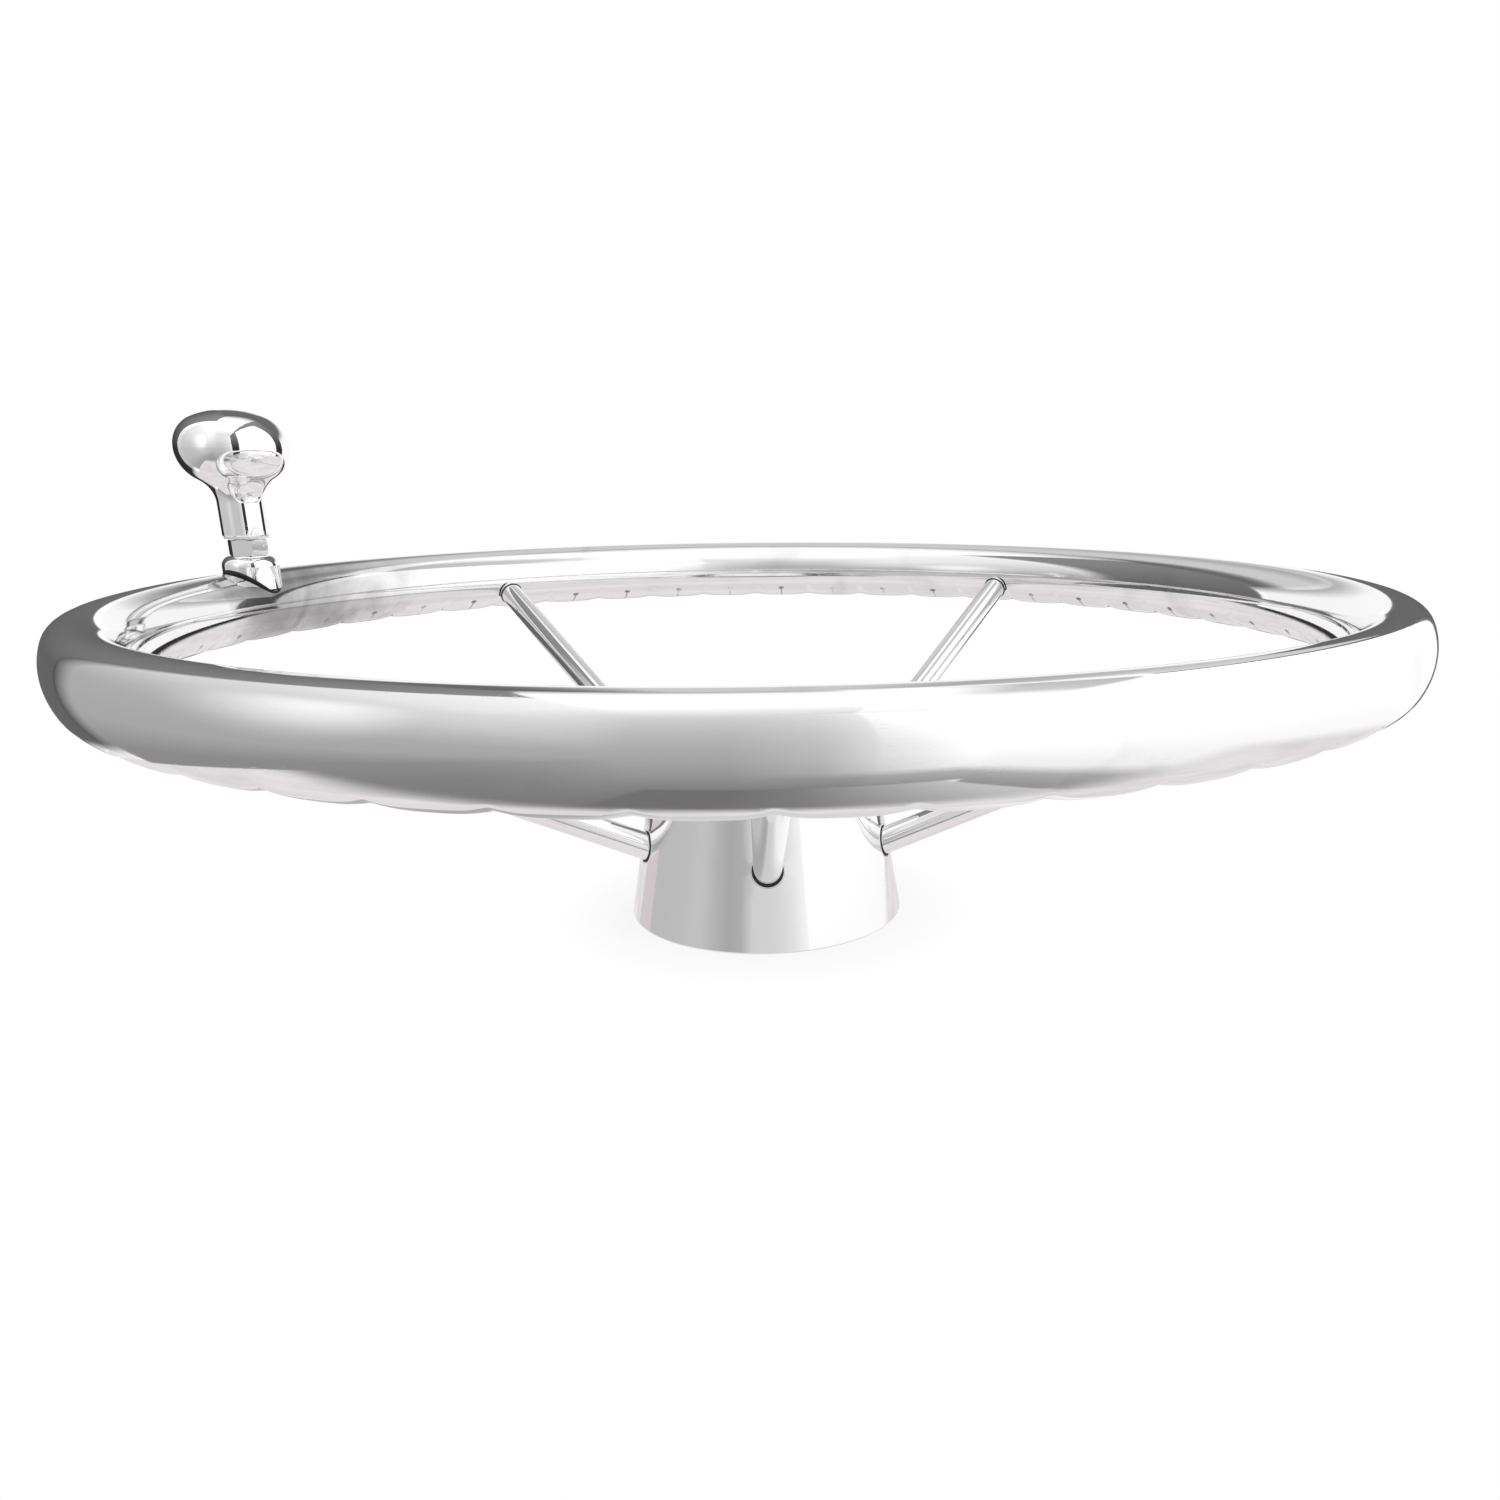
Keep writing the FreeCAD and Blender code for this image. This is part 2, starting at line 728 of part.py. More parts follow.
def make_cap_ring():
    """The square-cut rubber ring that fills the cap's groove and grips the cup's wall."""
    bottom = named("hub_height") - named("cap_ring_inset")
    inner = named("cup_radius") - named("cap_ring_width")
    return tube_piece("cap_ring", inner, named("cup_radius"), bottom, bottom + named("cap_ring_width"))


# Knob foot

def make_insert():
    """The threaded bush welded into the rim, its top following the rim's surface."""
    bottom = -named("insert_length")
    top = named("saddle_rise")
    body = tube_piece("knob_insert", named("thread_radius"), named("insert_radius"), bottom, top)
    trim = new_sketch(body, "trim", "XZ_Plane")
    axis_shift = knob_circle_radius
    draw_tube_section(trim, ZERO, axis_shift, -half_tube)
    reach = named("tube_height")
    draw_polygon(trim, [
        (-reach, -half_tube - reach),
        (reach, -half_tube - reach),
        (reach, reach - half_tube),
        (-reach, reach - half_tube),
    ])
    draw_axis(trim, (-axis_shift, -reach), (-axis_shift, reach))
    turn(body, trim, "trimmed", "PartDesign::Groove", "Axis0")
    place_on_knob_axis(body)
    return body


def make_saddle():
    """The round foot, arched below to sit astride the rim."""
    top = named("saddle_rise")
    radius = named("saddle_radius")
    bore = named("thread_radius") + named("thread_clearance")
    body = tube_piece("knob_saddle", bore, radius, -named("saddle_skirt"), top)
    round_edges(body, "PartDesign::Fillet", "top_edge", named("saddle_edge_radius"), radius, top)
    arch = new_sketch(body, "arch", "XZ_Plane")
    axis_shift = knob_circle_radius
    draw_tube_section(arch, named("saddle_seat_gap"), axis_shift, -half_tube)
    draw_axis(arch, (-axis_shift, -half_tube), (-axis_shift, half_tube))
    turn(body, arch, "arched", "PartDesign::Groove", "Axis0")
    place_on_knob_axis(body)
    return body


# Knob spindle, bearings and clip

def make_lock_nut():
    """The nut that locks the saddle down."""
    body = make_nut("knob_lock_nut", "lock_nut", named("thread_radius"), named("saddle_rise"))
    place_on_knob_axis(body)
    return body


def make_spindle():
    """The stud: threaded below, plain above, with a groove for the clip."""
    thread = named("thread_radius") - named("thread_clearance")
    shank = named("shank_radius")
    groove = named("clip_groove_radius")
    body = turned_body("knob_spindle", [
        (ZERO, -named("stud_depth")),
        (thread, -named("stud_depth")),
        (thread, lock_nut_top),
        (shank, lock_nut_top),
        (shank, clip_bottom),
        (groove, clip_bottom),
        (groove, clip_top),
        (shank, clip_top),
        (shank, shank_top),
        (ZERO, shank_top),
    ])
    place_on_knob_axis(body)
    return body


def make_lower_bush():
    """The flanged bush pressed into the sleeve from below."""
    body = turned_body("knob_lower_bush", [
        (bush_bore_radius, bush_bottom),
        (named("bush_flange_radius"), bush_bottom),
        (named("bush_flange_radius"), sleeve_bottom),
        (named("knob_bore_radius"), sleeve_bottom),
        (named("knob_bore_radius"), lower_bush_top),
        (bush_bore_radius, lower_bush_top),
    ])
    place_on_knob_axis(body)
    return body


def make_upper_bush():
    """The plain bush pressed in above it."""
    outer = named("knob_bore_radius")
    body = tube_piece("knob_upper_bush", bush_bore_radius, outer, upper_bush_bottom, upper_bush_top)
    place_on_knob_axis(body)
    return body


def make_thrust_washer():
    """The washer between the upper bush and the clip."""
    outer = named("thrust_washer_radius")
    body = tube_piece("knob_thrust_washer", bush_bore_radius, outer, upper_bush_top, thrust_washer_top)
    place_on_knob_axis(body)
    return body


def make_clip():
    """The open ring snapped into the spindle's groove."""
    outer = named("clip_radius")
    body = tube_piece("knob_clip", named("clip_groove_radius"), outer, clip_bottom, clip_top)
    mouth = new_sketch(body, "mouth", "XY_Plane")
    raise_sketch(mouth, clip_bottom)
    reach = outer * 2
    half_width = reach * tangent(named("clip_mouth_angle") / 2)
    draw_polygon(mouth, [
        (ZERO, ZERO),
        (reach, -half_width),
        (reach, half_width),
    ])
    pocket(body, mouth, "opened", named("clip_thickness"), along_normal=True)
    place_on_knob_axis(body)
    return body


def make_knob_head():
    """Head, neck and sleeve in one piece, bored from below for the bushes."""
    body = new_body("knob_head")
    sketch = new_sketch(body, "outline", "XZ_Plane")
    sleeve = named("sleeve_radius")
    bore = named("knob_bore_radius")
    bore_top = shank_top + named("shank_end_gap")
    neck_start = sleeve_bottom + named("sleeve_length")
    widest = neck_start + named("head_widest_rise")
    top = neck_start + named("head_top_rise")
    last = draw_chain(sketch, [
        (ZERO, top),
        (ZERO, bore_top),
        (bore, bore_top),
        (bore, sleeve_bottom),
        (sleeve - named("sleeve_chamfer"), sleeve_bottom),
        (sleeve, sleeve_bottom + named("sleeve_chamfer")),
        (sleeve, neck_start),
    ])

    # Four smooth arcs: neck, belly below the widest place, shoulder above it, crown
    head = named("head_radius")
    belly_radius = named("head_belly_radius")
    shoulder_radius = named("head_shoulder_radius")
    belly = belly_radius.value
    shoulder = shoulder_radius.value
    belly_centre = (head.value - belly, widest.value)
    shoulder_centre = (head.value - shoulder, widest.value)
    across = sleeve.value - belly_centre[0]
    rise = named("head_widest_rise").value
    neck = (across ** 2 + rise ** 2 - belly ** 2) / (2 * (belly - across))
    neck_centre = (sleeve.value + neck, neck_start.value)
    height = top.value - widest.value
    crown = (shoulder_centre[0] ** 2 + height ** 2 - shoulder ** 2) / (2 * (height - shoulder))
    crown_centre = (0.0, top.value - crown)
    to_neck = heading(belly_centre, neck_centre)
    to_shoulder = heading(crown_centre, shoulder_centre)
    neck_arc = add_arc(sketch, neck_centre, neck, to_neck - 180, 180)
    belly_arc = add_arc(sketch, belly_centre, belly, to_neck, 360)
    shoulder_arc = add_arc(sketch, shoulder_centre, shoulder, 0, to_shoulder)
    crown_arc = add_arc(sketch, crown_centre, crown, to_shoulder, 90)
    sketch.addConstraint(Sketcher.Constraint("Tangent", last, 2, neck_arc, 2))
    sketch.addConstraint(Sketcher.Constraint("Tangent", neck_arc, 1, belly_arc, 1))
    sketch.addConstraint(Sketcher.Constraint("Tangent", belly_arc, 2, shoulder_arc, 1))
    sketch.addConstraint(Sketcher.Constraint("Tangent", shoulder_arc, 2, crown_arc, 1))
    sketch.addConstraint(Sketcher.Constraint("Coincident", crown_arc, 2, 0, 1))
    sketch.addConstraint(Sketcher.Constraint("PointOnObject", crown_arc, 3, -2))
    dimension(sketch, "Radius", (belly_arc,), belly_radius)
    dimension(sketch, "Radius", (shoulder_arc,), shoulder_radius)
    fix_point(sketch, belly_arc, 3, (head - belly_radius, widest))
    turn(body, sketch, "turned")
    place_on_knob_axis(body)
    return body


spoke_numbers = range(int(named("spoke_count").value))
parts = [make_rim()]
parts += [make_spoke(number) for number in spoke_numbers]
parts += [
    make_hub_cover(),
    make_hub_boss(),
    make_hub_cup(),
    make_washer(),
    make_nut("wheel_nut", "wheel_nut", named("wheel_nut_bore_radius"), washer_top),
    make_centre_cap(),
    make_cap_ring(),
    make_insert(),
    make_saddle(),
    make_lock_nut(),
    make_spindle(),
    make_lower_bush(),
    make_upper_bush(),
    make_thrust_washer(),
    make_clip(),
    make_knob_head(),
]
doc.recompute()

for item in doc.Objects:
    if "Invalid" in item.State or "Error" in item.State:
        raise RuntimeError(f"{item.Name} failed: {item.State}")
for part in parts:
    if part.Shape.isNull() or not part.Shape.isValid() or len(part.Shape.Solids) != 1:
        raise RuntimeError(f"{part.Label} is not one valid solid")

os.makedirs("parts", exist_ok=True)
for part in parts:
    part.Shape.exportStep(f"parts/{part.Label}.step")
    print(part.Label, round(part.Shape.Volume, 1))
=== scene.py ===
"""Looks of a stainless boat steering wheel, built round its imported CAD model."""

import json
import logging
from collections.abc import Callable, Sequence
from dataclasses import dataclass
from enum import Enum
from math import atan2, cos, hypot, pi, radians, sin, tan

import bpy
import numpy as np
from bpy.types import Material, Mesh, Node, NodeTree, Object
from bpy.types import NodeSocket as Socket
from mathutils import Matrix, Vector


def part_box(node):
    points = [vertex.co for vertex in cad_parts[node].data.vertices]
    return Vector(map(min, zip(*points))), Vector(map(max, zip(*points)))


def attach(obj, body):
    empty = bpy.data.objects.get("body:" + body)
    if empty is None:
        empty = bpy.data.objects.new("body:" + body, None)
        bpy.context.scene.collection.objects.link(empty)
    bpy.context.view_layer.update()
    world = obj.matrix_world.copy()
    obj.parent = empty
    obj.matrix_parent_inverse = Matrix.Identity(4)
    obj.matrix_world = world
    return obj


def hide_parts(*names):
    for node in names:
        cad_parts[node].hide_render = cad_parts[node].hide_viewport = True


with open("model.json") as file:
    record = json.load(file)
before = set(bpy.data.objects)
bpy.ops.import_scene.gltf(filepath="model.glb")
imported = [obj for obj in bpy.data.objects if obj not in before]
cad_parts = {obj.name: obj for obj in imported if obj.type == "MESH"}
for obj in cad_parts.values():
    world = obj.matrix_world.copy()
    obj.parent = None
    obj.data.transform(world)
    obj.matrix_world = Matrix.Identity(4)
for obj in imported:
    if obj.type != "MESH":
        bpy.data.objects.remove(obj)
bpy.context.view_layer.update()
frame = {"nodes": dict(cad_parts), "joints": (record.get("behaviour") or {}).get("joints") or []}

log = logging.getLogger("steering_wheel")

MM = 0.001
FULL_TURN = 2 * pi
HALVINGS = 40
FLOOR = -0.8
CEILING = 1.1
KNOB_PLACE = tuple(frame["joints"][0]["pos_m"])
KNOB_STEEL = ("knob_head", "knob_saddle", "knob_lock_nut")
MIX_COLOURS = (6, 7)
MIXED_COLOUR = 2
QUAD = ((0, 1, 2, 3),)

Colour = tuple[float, float, float]
Point = tuple[float, float, float]
Pair = tuple[float, float]
Box = tuple[float, float, float, float]
Stops = tuple[Pair, ...]
Array = np.ndarray
Number = Array | float
Test = Callable[[Array], bool]

WHITE: Colour = (1.0, 1.0, 1.0)
BLACK: Colour = (0.0, 0.0, 0.0)
IN_PLAN: Point = (1.0, 1.0, 0.0)


class Body(Enum):
    """The CAD body that the new pieces ride on."""

    WHEEL = "wheel"


class Slot(Enum):
    """The record's material slots."""

    POLISHED = "polished_steel"
    TURNED = "turned_steel"
    SPRING = "spring_steel"
    ACETAL = "acetal"
    RUBBER = "seal_rubber"


class Axis(Enum):
    """A coordinate of the row frame."""

    X = 0
    Y = 1
    Z = 2


class Ray(Enum):
    """The rays that an object can be hidden from."""

    CAMERA = "visible_camera"
    DIFFUSE = "visible_diffuse"
    GLOSSY = "visible_glossy"
    SHADOW = "visible_shadow"


REFLECTED_ONLY = (Ray.CAMERA, Ray.DIFFUSE, Ray.SHADOW)


# Shader building

@dataclass(frozen=True)
class Value:
    """A number that varies over a surface, whose arithmetic adds Math nodes."""

    graph: "Graph"
    socket: Socket

    def maths(self, operation: str, *operands: "Value | float") -> "Value":
        """Pass operands through one Math node."""
        node = self.graph.add("ShaderNodeMath", dict(enumerate(operands)), operation=operation)
        return Value(self.graph, node.outputs[0])

    def __add__(self, other: "Value | float") -> "Value":
        """Sum with a value or a number."""
        return self.maths("ADD", self, other)

    __radd__ = __add__

    def __sub__(self, other: "Value | float") -> "Value":
        """Difference from a value or a number."""
        return self.maths("SUBTRACT", self, other)

    def __rsub__(self, other: float) -> "Value":
        """A number less this value."""
        return self.maths("SUBTRACT", other, self)

    def __mul__(self, other: "Value | float") -> "Value":
        """Product with a value or a number."""
        return self.maths("MULTIPLY", self, other)

    __rmul__ = __mul__

    def __truediv__(self, other: float) -> "Value":
        """Quotient by a number."""
        return self * (1 / other)

    def sine(self) -> "Value":
        """Sine of an angle in radians."""
        return self.maths("SINE", self)

    def size(self) -> "Value":
        """The value without its sign."""
        return self.maths("ABSOLUTE", self)

    def after_point(self) -> "Value":
        """The part after the decimal point."""
        return self.maths("FRACT", self)

    def or_more(self, other: "Value | float") -> "Value":
        """The larger of two values."""
        return self.maths("MAXIMUM", self, other)

    def angle_to(self, other: "Value") -> "Value":
        """Angle of the direction whose sine is this value and whose cosine is the other."""
        return self.maths("ARCTAN2", self, other)

    def rise(self, low: float, high: float) -> "Value":
        """Smooth step from 0 at low to 1 at high, or down where low is the larger."""
        inputs = {"Value": self, "From Min": low, "From Max": high}
        node = self.graph.add("ShaderNodeMapRange", inputs, interpolation_type="SMOOTHSTEP")
        return Value(self.graph, node.outputs["Result"])


Input = Value | Socket | float | tuple


class Graph:
    """The node tree of a material or of the world."""

    def __init__(self, tree: NodeTree) -> None:
        """Empty the tree."""
        self.tree = tree
        tree.nodes.clear()

    def add(self, kind: str, inputs: dict | None = None, **settings: str) -> Node:
        """Add a node.

        Args:
            kind: The node's type.
            inputs: What goes into its sockets, by name or number.
            settings: The node's own settings, which are set first.

        Returns:
            The node.
        """
        node = self.tree.nodes.new(kind)
        for name, setting in settings.items():
            setattr(node, name, setting)
        for key, given in (inputs or {}).items():
            socket = node.inputs[key]
            given = given.socket if isinstance(given, Value) else given
            if isinstance(given, Socket):
                self.tree.links.new(given, socket)
            else:
                socket.default_value = (*given, 1.0) if socket.type == "RGBA" else given
        return node

    def place(self) -> Socket:
        """A point's place in the row frame, in metres."""
        return self.add("ShaderNodeTexCoord").outputs["Object"]

    def split(self, vector: Socket) -> tuple[Value, Value, Value]:
        """The three coordinates of a vector."""
        return tuple(Value(self, output) for output in self.add("ShaderNodeSeparateXYZ", {0: vector}).outputs)

    def length(self, vector: Socket) -> Value:
        """The length of a vector."""
        return Value(self, self.add("ShaderNodeVectorMath", {0: vector}, operation="LENGTH").outputs["Value"])

    def arrange(self, vector: Socket, operation: str, by: Point) -> Socket:
        """A vector after one Vector Math operation with a constant vector."""
        return self.add("ShaderNodeVectorMath", {0: vector, 1: by}, operation=operation).outputs[0]

    def noise(self, vector: Socket, scale: float, detail: float = 2.0, distortion: float = 0.0) -> Value:
        """Smooth noise from 0 to 1, its scale in blobs per metre and its detail in finer layers."""
        inputs = {"Vector": vector, "Scale": scale, "Detail": detail, "Distortion": distortion}
        return Value(self, self.add("ShaderNodeTexNoise", inputs).outputs[0])

    def mix(self, share: Value, first: Input, second: Input) -> Socket:
        """Mix two colours, the first at share 0 and the second at share 1."""
        inputs = {"Factor": share, **dict(zip(MIX_COLOURS, (first, second)))}
        return self.add("ShaderNodeMix", inputs, data_type="RGBA").outputs[MIXED_COLOUR]

    def grey(self, level: Value) -> Socket:
        """A grey from black at 0 to white at 1."""
        return self.mix(level, BLACK, WHITE)

    def ramp(self, share: Value, stops: Stops) -> Socket:
        """The grey at a place from 0 to 1, between stops that pair places with greys."""
        node = self.add("ShaderNodeValToRGB", {0: share})
        elements = node.color_ramp.elements
        while len(elements) < len(stops):
            elements.new(1.0)
        for element, (place, grey) in zip(elements, stops):
            element.position = place
            element.color = (grey, grey, grey, 1)
        return node.outputs[0]

    def bump(self, height: Value, depth: float) -> Socket:
        """A normal tilted by a height, whose 1 stands for a depth in metres."""
        return self.add("ShaderNodeBump", {"Height": height, "Strength": 1.0, "Distance": depth}).outputs[0]

    def ray_is(self, kind: str) -> Value:
        """Whether a ray is of one kind."""
        return Value(self, self.add("ShaderNodeLightPath").outputs[kind])

    def clear(self) -> Socket:
        """A shader that lets everything through."""
        return self.add("ShaderNodeBsdfTransparent").outputs[0]

    def glow(self, colour: Input, strength: float = 1.0) -> Socket:
        """An emission of that colour."""
        return self.add("ShaderNodeEmission", {"Color": colour, "Strength": strength}).outputs[0]

    def blend_shaders(self, share: Value, first: Socket, second: Socket) -> Socket:
        """Mix two shaders."""
        return self.add("ShaderNodeMixShader", {0: share, 1: first, 2: second}).outputs[0]

    def surface(self, colour: Socket, metallic: float, roughness: Value, normal: Socket) -> None:
        """Join a Principled shader to the output."""
        inputs = {"Base Color": colour, "Metallic": metallic, "Roughness": roughness, "Normal": normal}
        self.finish(self.add("ShaderNodeBsdfPrincipled", inputs).outputs[0])

    def finish(self, shader: Socket, kind: str = "ShaderNodeOutputMaterial") -> None:
        """Join the last shader to the output."""
        self.add(kind, {"Surface": shader})


def new_material(name: str) -> tuple[Material, Graph]:
    """A material and its empty graph."""
    material = bpy.data.materials.new(name)
    material.use_nodes = True
    return material, Graph(material.node_tree)


# Finishes

def darkened(colour: Colour, share: float) -> Colour:
    """A colour with a share of its light taken away."""
    return tuple(channel * (1 - share) for channel in colour)


@dataclass(frozen=True)
class Finish:
    """The look of a surface, built from nodes."""

    name: str

    def material(self) -> Material:
        """Build the material."""
        material, graph = new_material(self.name)
        self.paint(graph, graph.place())
        return material

    def paint(self, graph: Graph, place: Socket) -> None:
        """Build the nodes from a surface point's place."""
        raise NotImplementedError


@dataclass(frozen=True)
class PolishedSteel(Finish):
    """Mirror-polished stainless steel with a faint haze, wiping marks and hairline scratches."""

    tint: Colour = (0.905, 0.905, 0.905)
    roughness: float = 0.03
    haze: float = 0.03
    haze_scale: float = 38.0
    smudges: float = 0.04
    smudge_scale: float = 21.0
    smudge_edge: Pair = (0.56, 0.74)
    smudge_shade: float = 0.05
    streak_scale: float = 420.0
    streak_stretch: Point = (1.0, 1.0, 9.0)
    scratch_edge: Pair = (0.63, 0.7)
    scratch_shade: float = 0.25
    scratch_depth: float = 0.002 * MM

    def paint(self, graph: Graph, place: Socket) -> None:
        """Build the nodes, duller at wiping marks and bumped at scratches."""
        haze = graph.noise(place, self.haze_scale, 3.0)
        smudge = graph.noise(place, self.smudge_scale, 5.0, 1.4).rise(*self.smudge_edge)
        streaks = graph.noise(graph.arrange(place, "MULTIPLY", self.streak_stretch), self.streak_scale, 4.0)
        scratch = streaks.rise(*self.scratch_edge)
        darker = darkened(self.tint, self.smudge_shade)
        bright = graph.mix(smudge + scratch * self.scratch_shade, self.tint, darker)
        colour = self.add_painted_shade(graph, place, bright)
        roughness = self.roughness + haze * self.haze + smudge * self.smudges
        graph.surface(colour, 1.0, roughness, graph.bump(scratch, self.scratch_depth))

    def add_painted_shade(self, graph: Graph, place: Socket, bright: Socket) -> Socket:
        """The clean colour, to which some finishes add painted shade."""
        return bright


@dataclass(frozen=True)
class GroovedSteel(PolishedSteel):
    """Polished steel with painted shade and painted dark reflections at the cusps between the finger grooves.

    It has a painted dark patch with blotchy edges on the tube's inner side beside the knob, a painted darker
    reflection.
    """

    rim: "Rim | None" = None
    # Near-black colour of the painted shade and painted dark reflections at the cusps.
    cusp_shade_colour: Colour = (0.1, 0.1, 0.1)
    wander_scale: float = 900.0
    wander_beside: float = 0.9 * MM
    wander_below: float = 1.4 * MM
    hook_angle: float = radians(42)
    hook_length: float = 1.25 * MM
    hook_height: float = 0.8 * MM
    hook_edge: Pair = (1.3, 0.4)
    hook_strength: float = 0.8
    line_width: float = 0.28 * MM
    line_edge: Pair = (1.6, 0.5)
    line_start: float = 0.05
    line_end: Pair = (1.5, 1.2)
    line_strength: float = 0.65
    patch_scale: float = 60.0
    patch_wander: float = 0.6
    patch_edge: Pair = (0.2, 0.55)
    blotch_scale: float = 55.0
    blotch_turn: float = 0.25
    # A painted dark patch on the inner side beside the knob, standing in for a darker reflection there.
    shaded_patch_start: Pair = (radians(139), radians(155))
    shaded_patch_end: Pair = (radians(172), radians(164))
    shaded_patch_inset: Pair = (-1.0 * MM, 3.0 * MM)
    shaded_patch_darkening: float = 0.62
    shaded_patch_strength: float = 0.85
    shaded_patch_mottle: float = 0.9

    def add_painted_shade(self, graph: Graph, place: Socket, bright: Socket) -> Socket:
        """The clean colour with painted shade and dark reflections at the cusps, and the painted dark patch
        beside the knob.
        """
        rim = self.rim
        across, along, height = graph.split(place)
        azimuth = along.angle_to(across)
        pitch = FULL_TURN / rim.groove_count
        share = (azimuth + (pi / 2 + FULL_TURN)) / pitch
        from_cusp = (share.after_point() - 0.5).size() * (pitch * rim.crest_radius)
        inward = rim.crest_radius - graph.length(graph.arrange(place, "MULTIPLY", IN_PLAN))
        turn = (rim.centre_height - height).angle_to(inward)
        wander = graph.noise(place, self.wander_scale) - 0.5
        beside = (from_cusp + wander * self.wander_beside) / self.hook_length
        below = ((turn - self.hook_angle) * rim.half_height + wander * self.wander_below) / self.hook_height
        # Painted dark reflection: a dark hook at the upper end of each cusp.
        hook = (beside * beside + below * below).rise(*self.hook_edge)
        # Painted shade: a thin dark line down each cusp's crease.
        reach = turn.rise(self.hook_angle, self.hook_angle + self.line_start) * turn.rise(*self.line_end)
        line = from_cusp.rise(*(self.line_width * edge for edge in self.line_edge)) * reach
        patches = graph.noise(place, self.patch_scale, 1.0) + wander * self.patch_wander
        amount = patches.rise(*self.patch_edge)
        # The painted shade and reflections at the cusps, stronger in patches.
        cusp_shade = (hook * self.hook_strength).or_more(line * self.line_strength) * amount
        # Painted darker reflection beside the knob, with blotchy edges.
        blotches = graph.noise(place, self.blotch_scale, 5.0, 1.0) - 0.5
        blotched = azimuth + blotches * self.blotch_turn
        shaded_patch = blotched.rise(*self.shaded_patch_start) * blotched.rise(*self.shaded_patch_end) * inward.rise(*self.shaded_patch_inset)
        patch_shading = shaded_patch * (self.shaded_patch_strength + blotches * self.shaded_patch_mottle)
        cusp_shaded = graph.mix(cusp_shade, bright, self.cusp_shade_colour)
        return graph.mix(patch_shading, cusp_shaded, darkened(self.tint, self.shaded_patch_darkening))


@dataclass(frozen=True)
class TurnedSteel(Finish):
    """Stainless steel as it leaves the lathe, with fine rings about an axis."""

    axis: Point = (0.0, 0.0, 0.0)
    tint: Colour = (0.62, 0.615, 0.6)
    shade: float = 0.2
    roughness: float = 0.24
    ring_pitch: float = 0.25 * MM
    ring_depth: float = 0.006 * MM
    ring_shade: float = 0.15
    ring_roughness: float = 0.05
    wobble: float = 0.6
    wobble_scale: float = 160.0
    stain_scale: float = 95.0
    stain_edge: Pair = (0.5, 0.75)
    stain_shade: float = 0.5
    stain_roughness: float = 0.1

    def paint(self, graph: Graph, place: Socket) -> None:
        """Build the nodes, with rings that wobble and a stain here and there."""
        place = graph.arrange(place, "SUBTRACT", self.axis)
        radius = graph.length(graph.arrange(place, "MULTIPLY", IN_PLAN))
        height = graph.split(place)[Axis.Z.value]
        wobble = graph.noise(place, self.wobble_scale) * (self.wobble * self.ring_pitch)
        rings = 0.5 + 0.5 * ((radius + height + wobble) * (FULL_TURN / self.ring_pitch)).sine()
        stain = graph.noise(place, self.stain_scale, 4.0).rise(*self.stain_edge)
        share = stain * self.stain_shade + rings * self.ring_shade
        colour = graph.mix(share, self.tint, darkened(self.tint, self.shade))
        roughness = self.roughness + stain * self.stain_roughness + rings * self.ring_roughness
        graph.surface(colour, 1.0, roughness, graph.bump(rings, self.ring_depth))


@dataclass(frozen=True)
class Moulded(Finish):
    """Moulded or pressed plastic, rubber or dark spring steel, and near-black rings of painted shadow: one
    colour, mottled, with a fine grain.
    """

    colour: Colour
    roughness: float
    metallic: float = 0.0
    mottle: float = 0.2
    mottle_scale: float = 240.0
    grain_scale: float = 1800.0
    grain_depth: float = 0.01 * MM
    grain_roughness: float = 0.1

    def paint(self, graph: Graph, place: Socket) -> None:
        """Build the nodes, with mottles in the colour and a grain in the relief."""
        grain = graph.noise(place, self.grain_scale, 3.0)
        mottle = graph.noise(place, self.mottle_scale, 4.0)
        colour = graph.mix(mottle, self.colour, darkened(self.colour, self.mottle))
        roughness = self.roughness + grain * self.grain_roughness
        graph.surface(colour, self.metallic, roughness, graph.bump(grain, self.grain_depth))


# Mesh helpers

def angles_round(steps: int) -> Array:
    """Angles evenly round a full turn."""
    return np.arange(steps) / steps * FULL_TURN


def unit(vectors: Array) -> Array:
    """Vectors brought to length 1."""
    return vectors / np.linalg.norm(vectors, axis=-1, keepdims=True)


def plain_mesh(name: str, points: Sequence, faces: Sequence) -> Mesh:
    """A mesh of flat faces."""
    mesh = bpy.data.meshes.new(name)
    mesh.from_pydata(points, [], faces)
    return mesh


def woven_mesh(name: str, points: Array, normals: Array, wraps: bool = True) -> Mesh:
    """A mesh of quads over a grid of points that closes across its columns.

    Args:
        name: The mesh's name.
        points: Points as rows, columns and coordinates.
        normals: The true normals at those points.
        wraps: Whether the last row joins the first. If not, both ends are closed with fans.

    Returns:
        The mesh, smooth shaded.
    """
    rows, columns, _ = points.shape
    index = np.arange(rows * columns).reshape(rows, columns)
    following = np.roll(index, -1, 0) if wraps else index[1:]
    current = index if wraps else index[:-1]
    quads = np.stack([current, np.roll(current, -1, 1), np.roll(following, -1, 1), following], -1)
    faces = quads.reshape(-1, 4).tolist()
    grids = (points, normals)
    lists = [grid.reshape(-1, 3) for grid in grids]
    if not wraps:
        lists = [np.vstack([flat, grid[0].mean(0), grid[-1].mean(0)]) for flat, grid in zip(lists, grids)]
        middle = rows * columns
        for ring, centre, order in ((index[0], middle, 1), (index[-1], middle + 1, -1)):
            faces += np.stack([np.roll(ring, -order), ring, np.full(columns, centre)], -1).tolist()
    mesh = plain_mesh(name, lists[0].tolist(), faces)
    mesh.shade_smooth()
    mesh.normals_split_custom_set_from_vertices(unit(lists[1]).tolist())
    return mesh


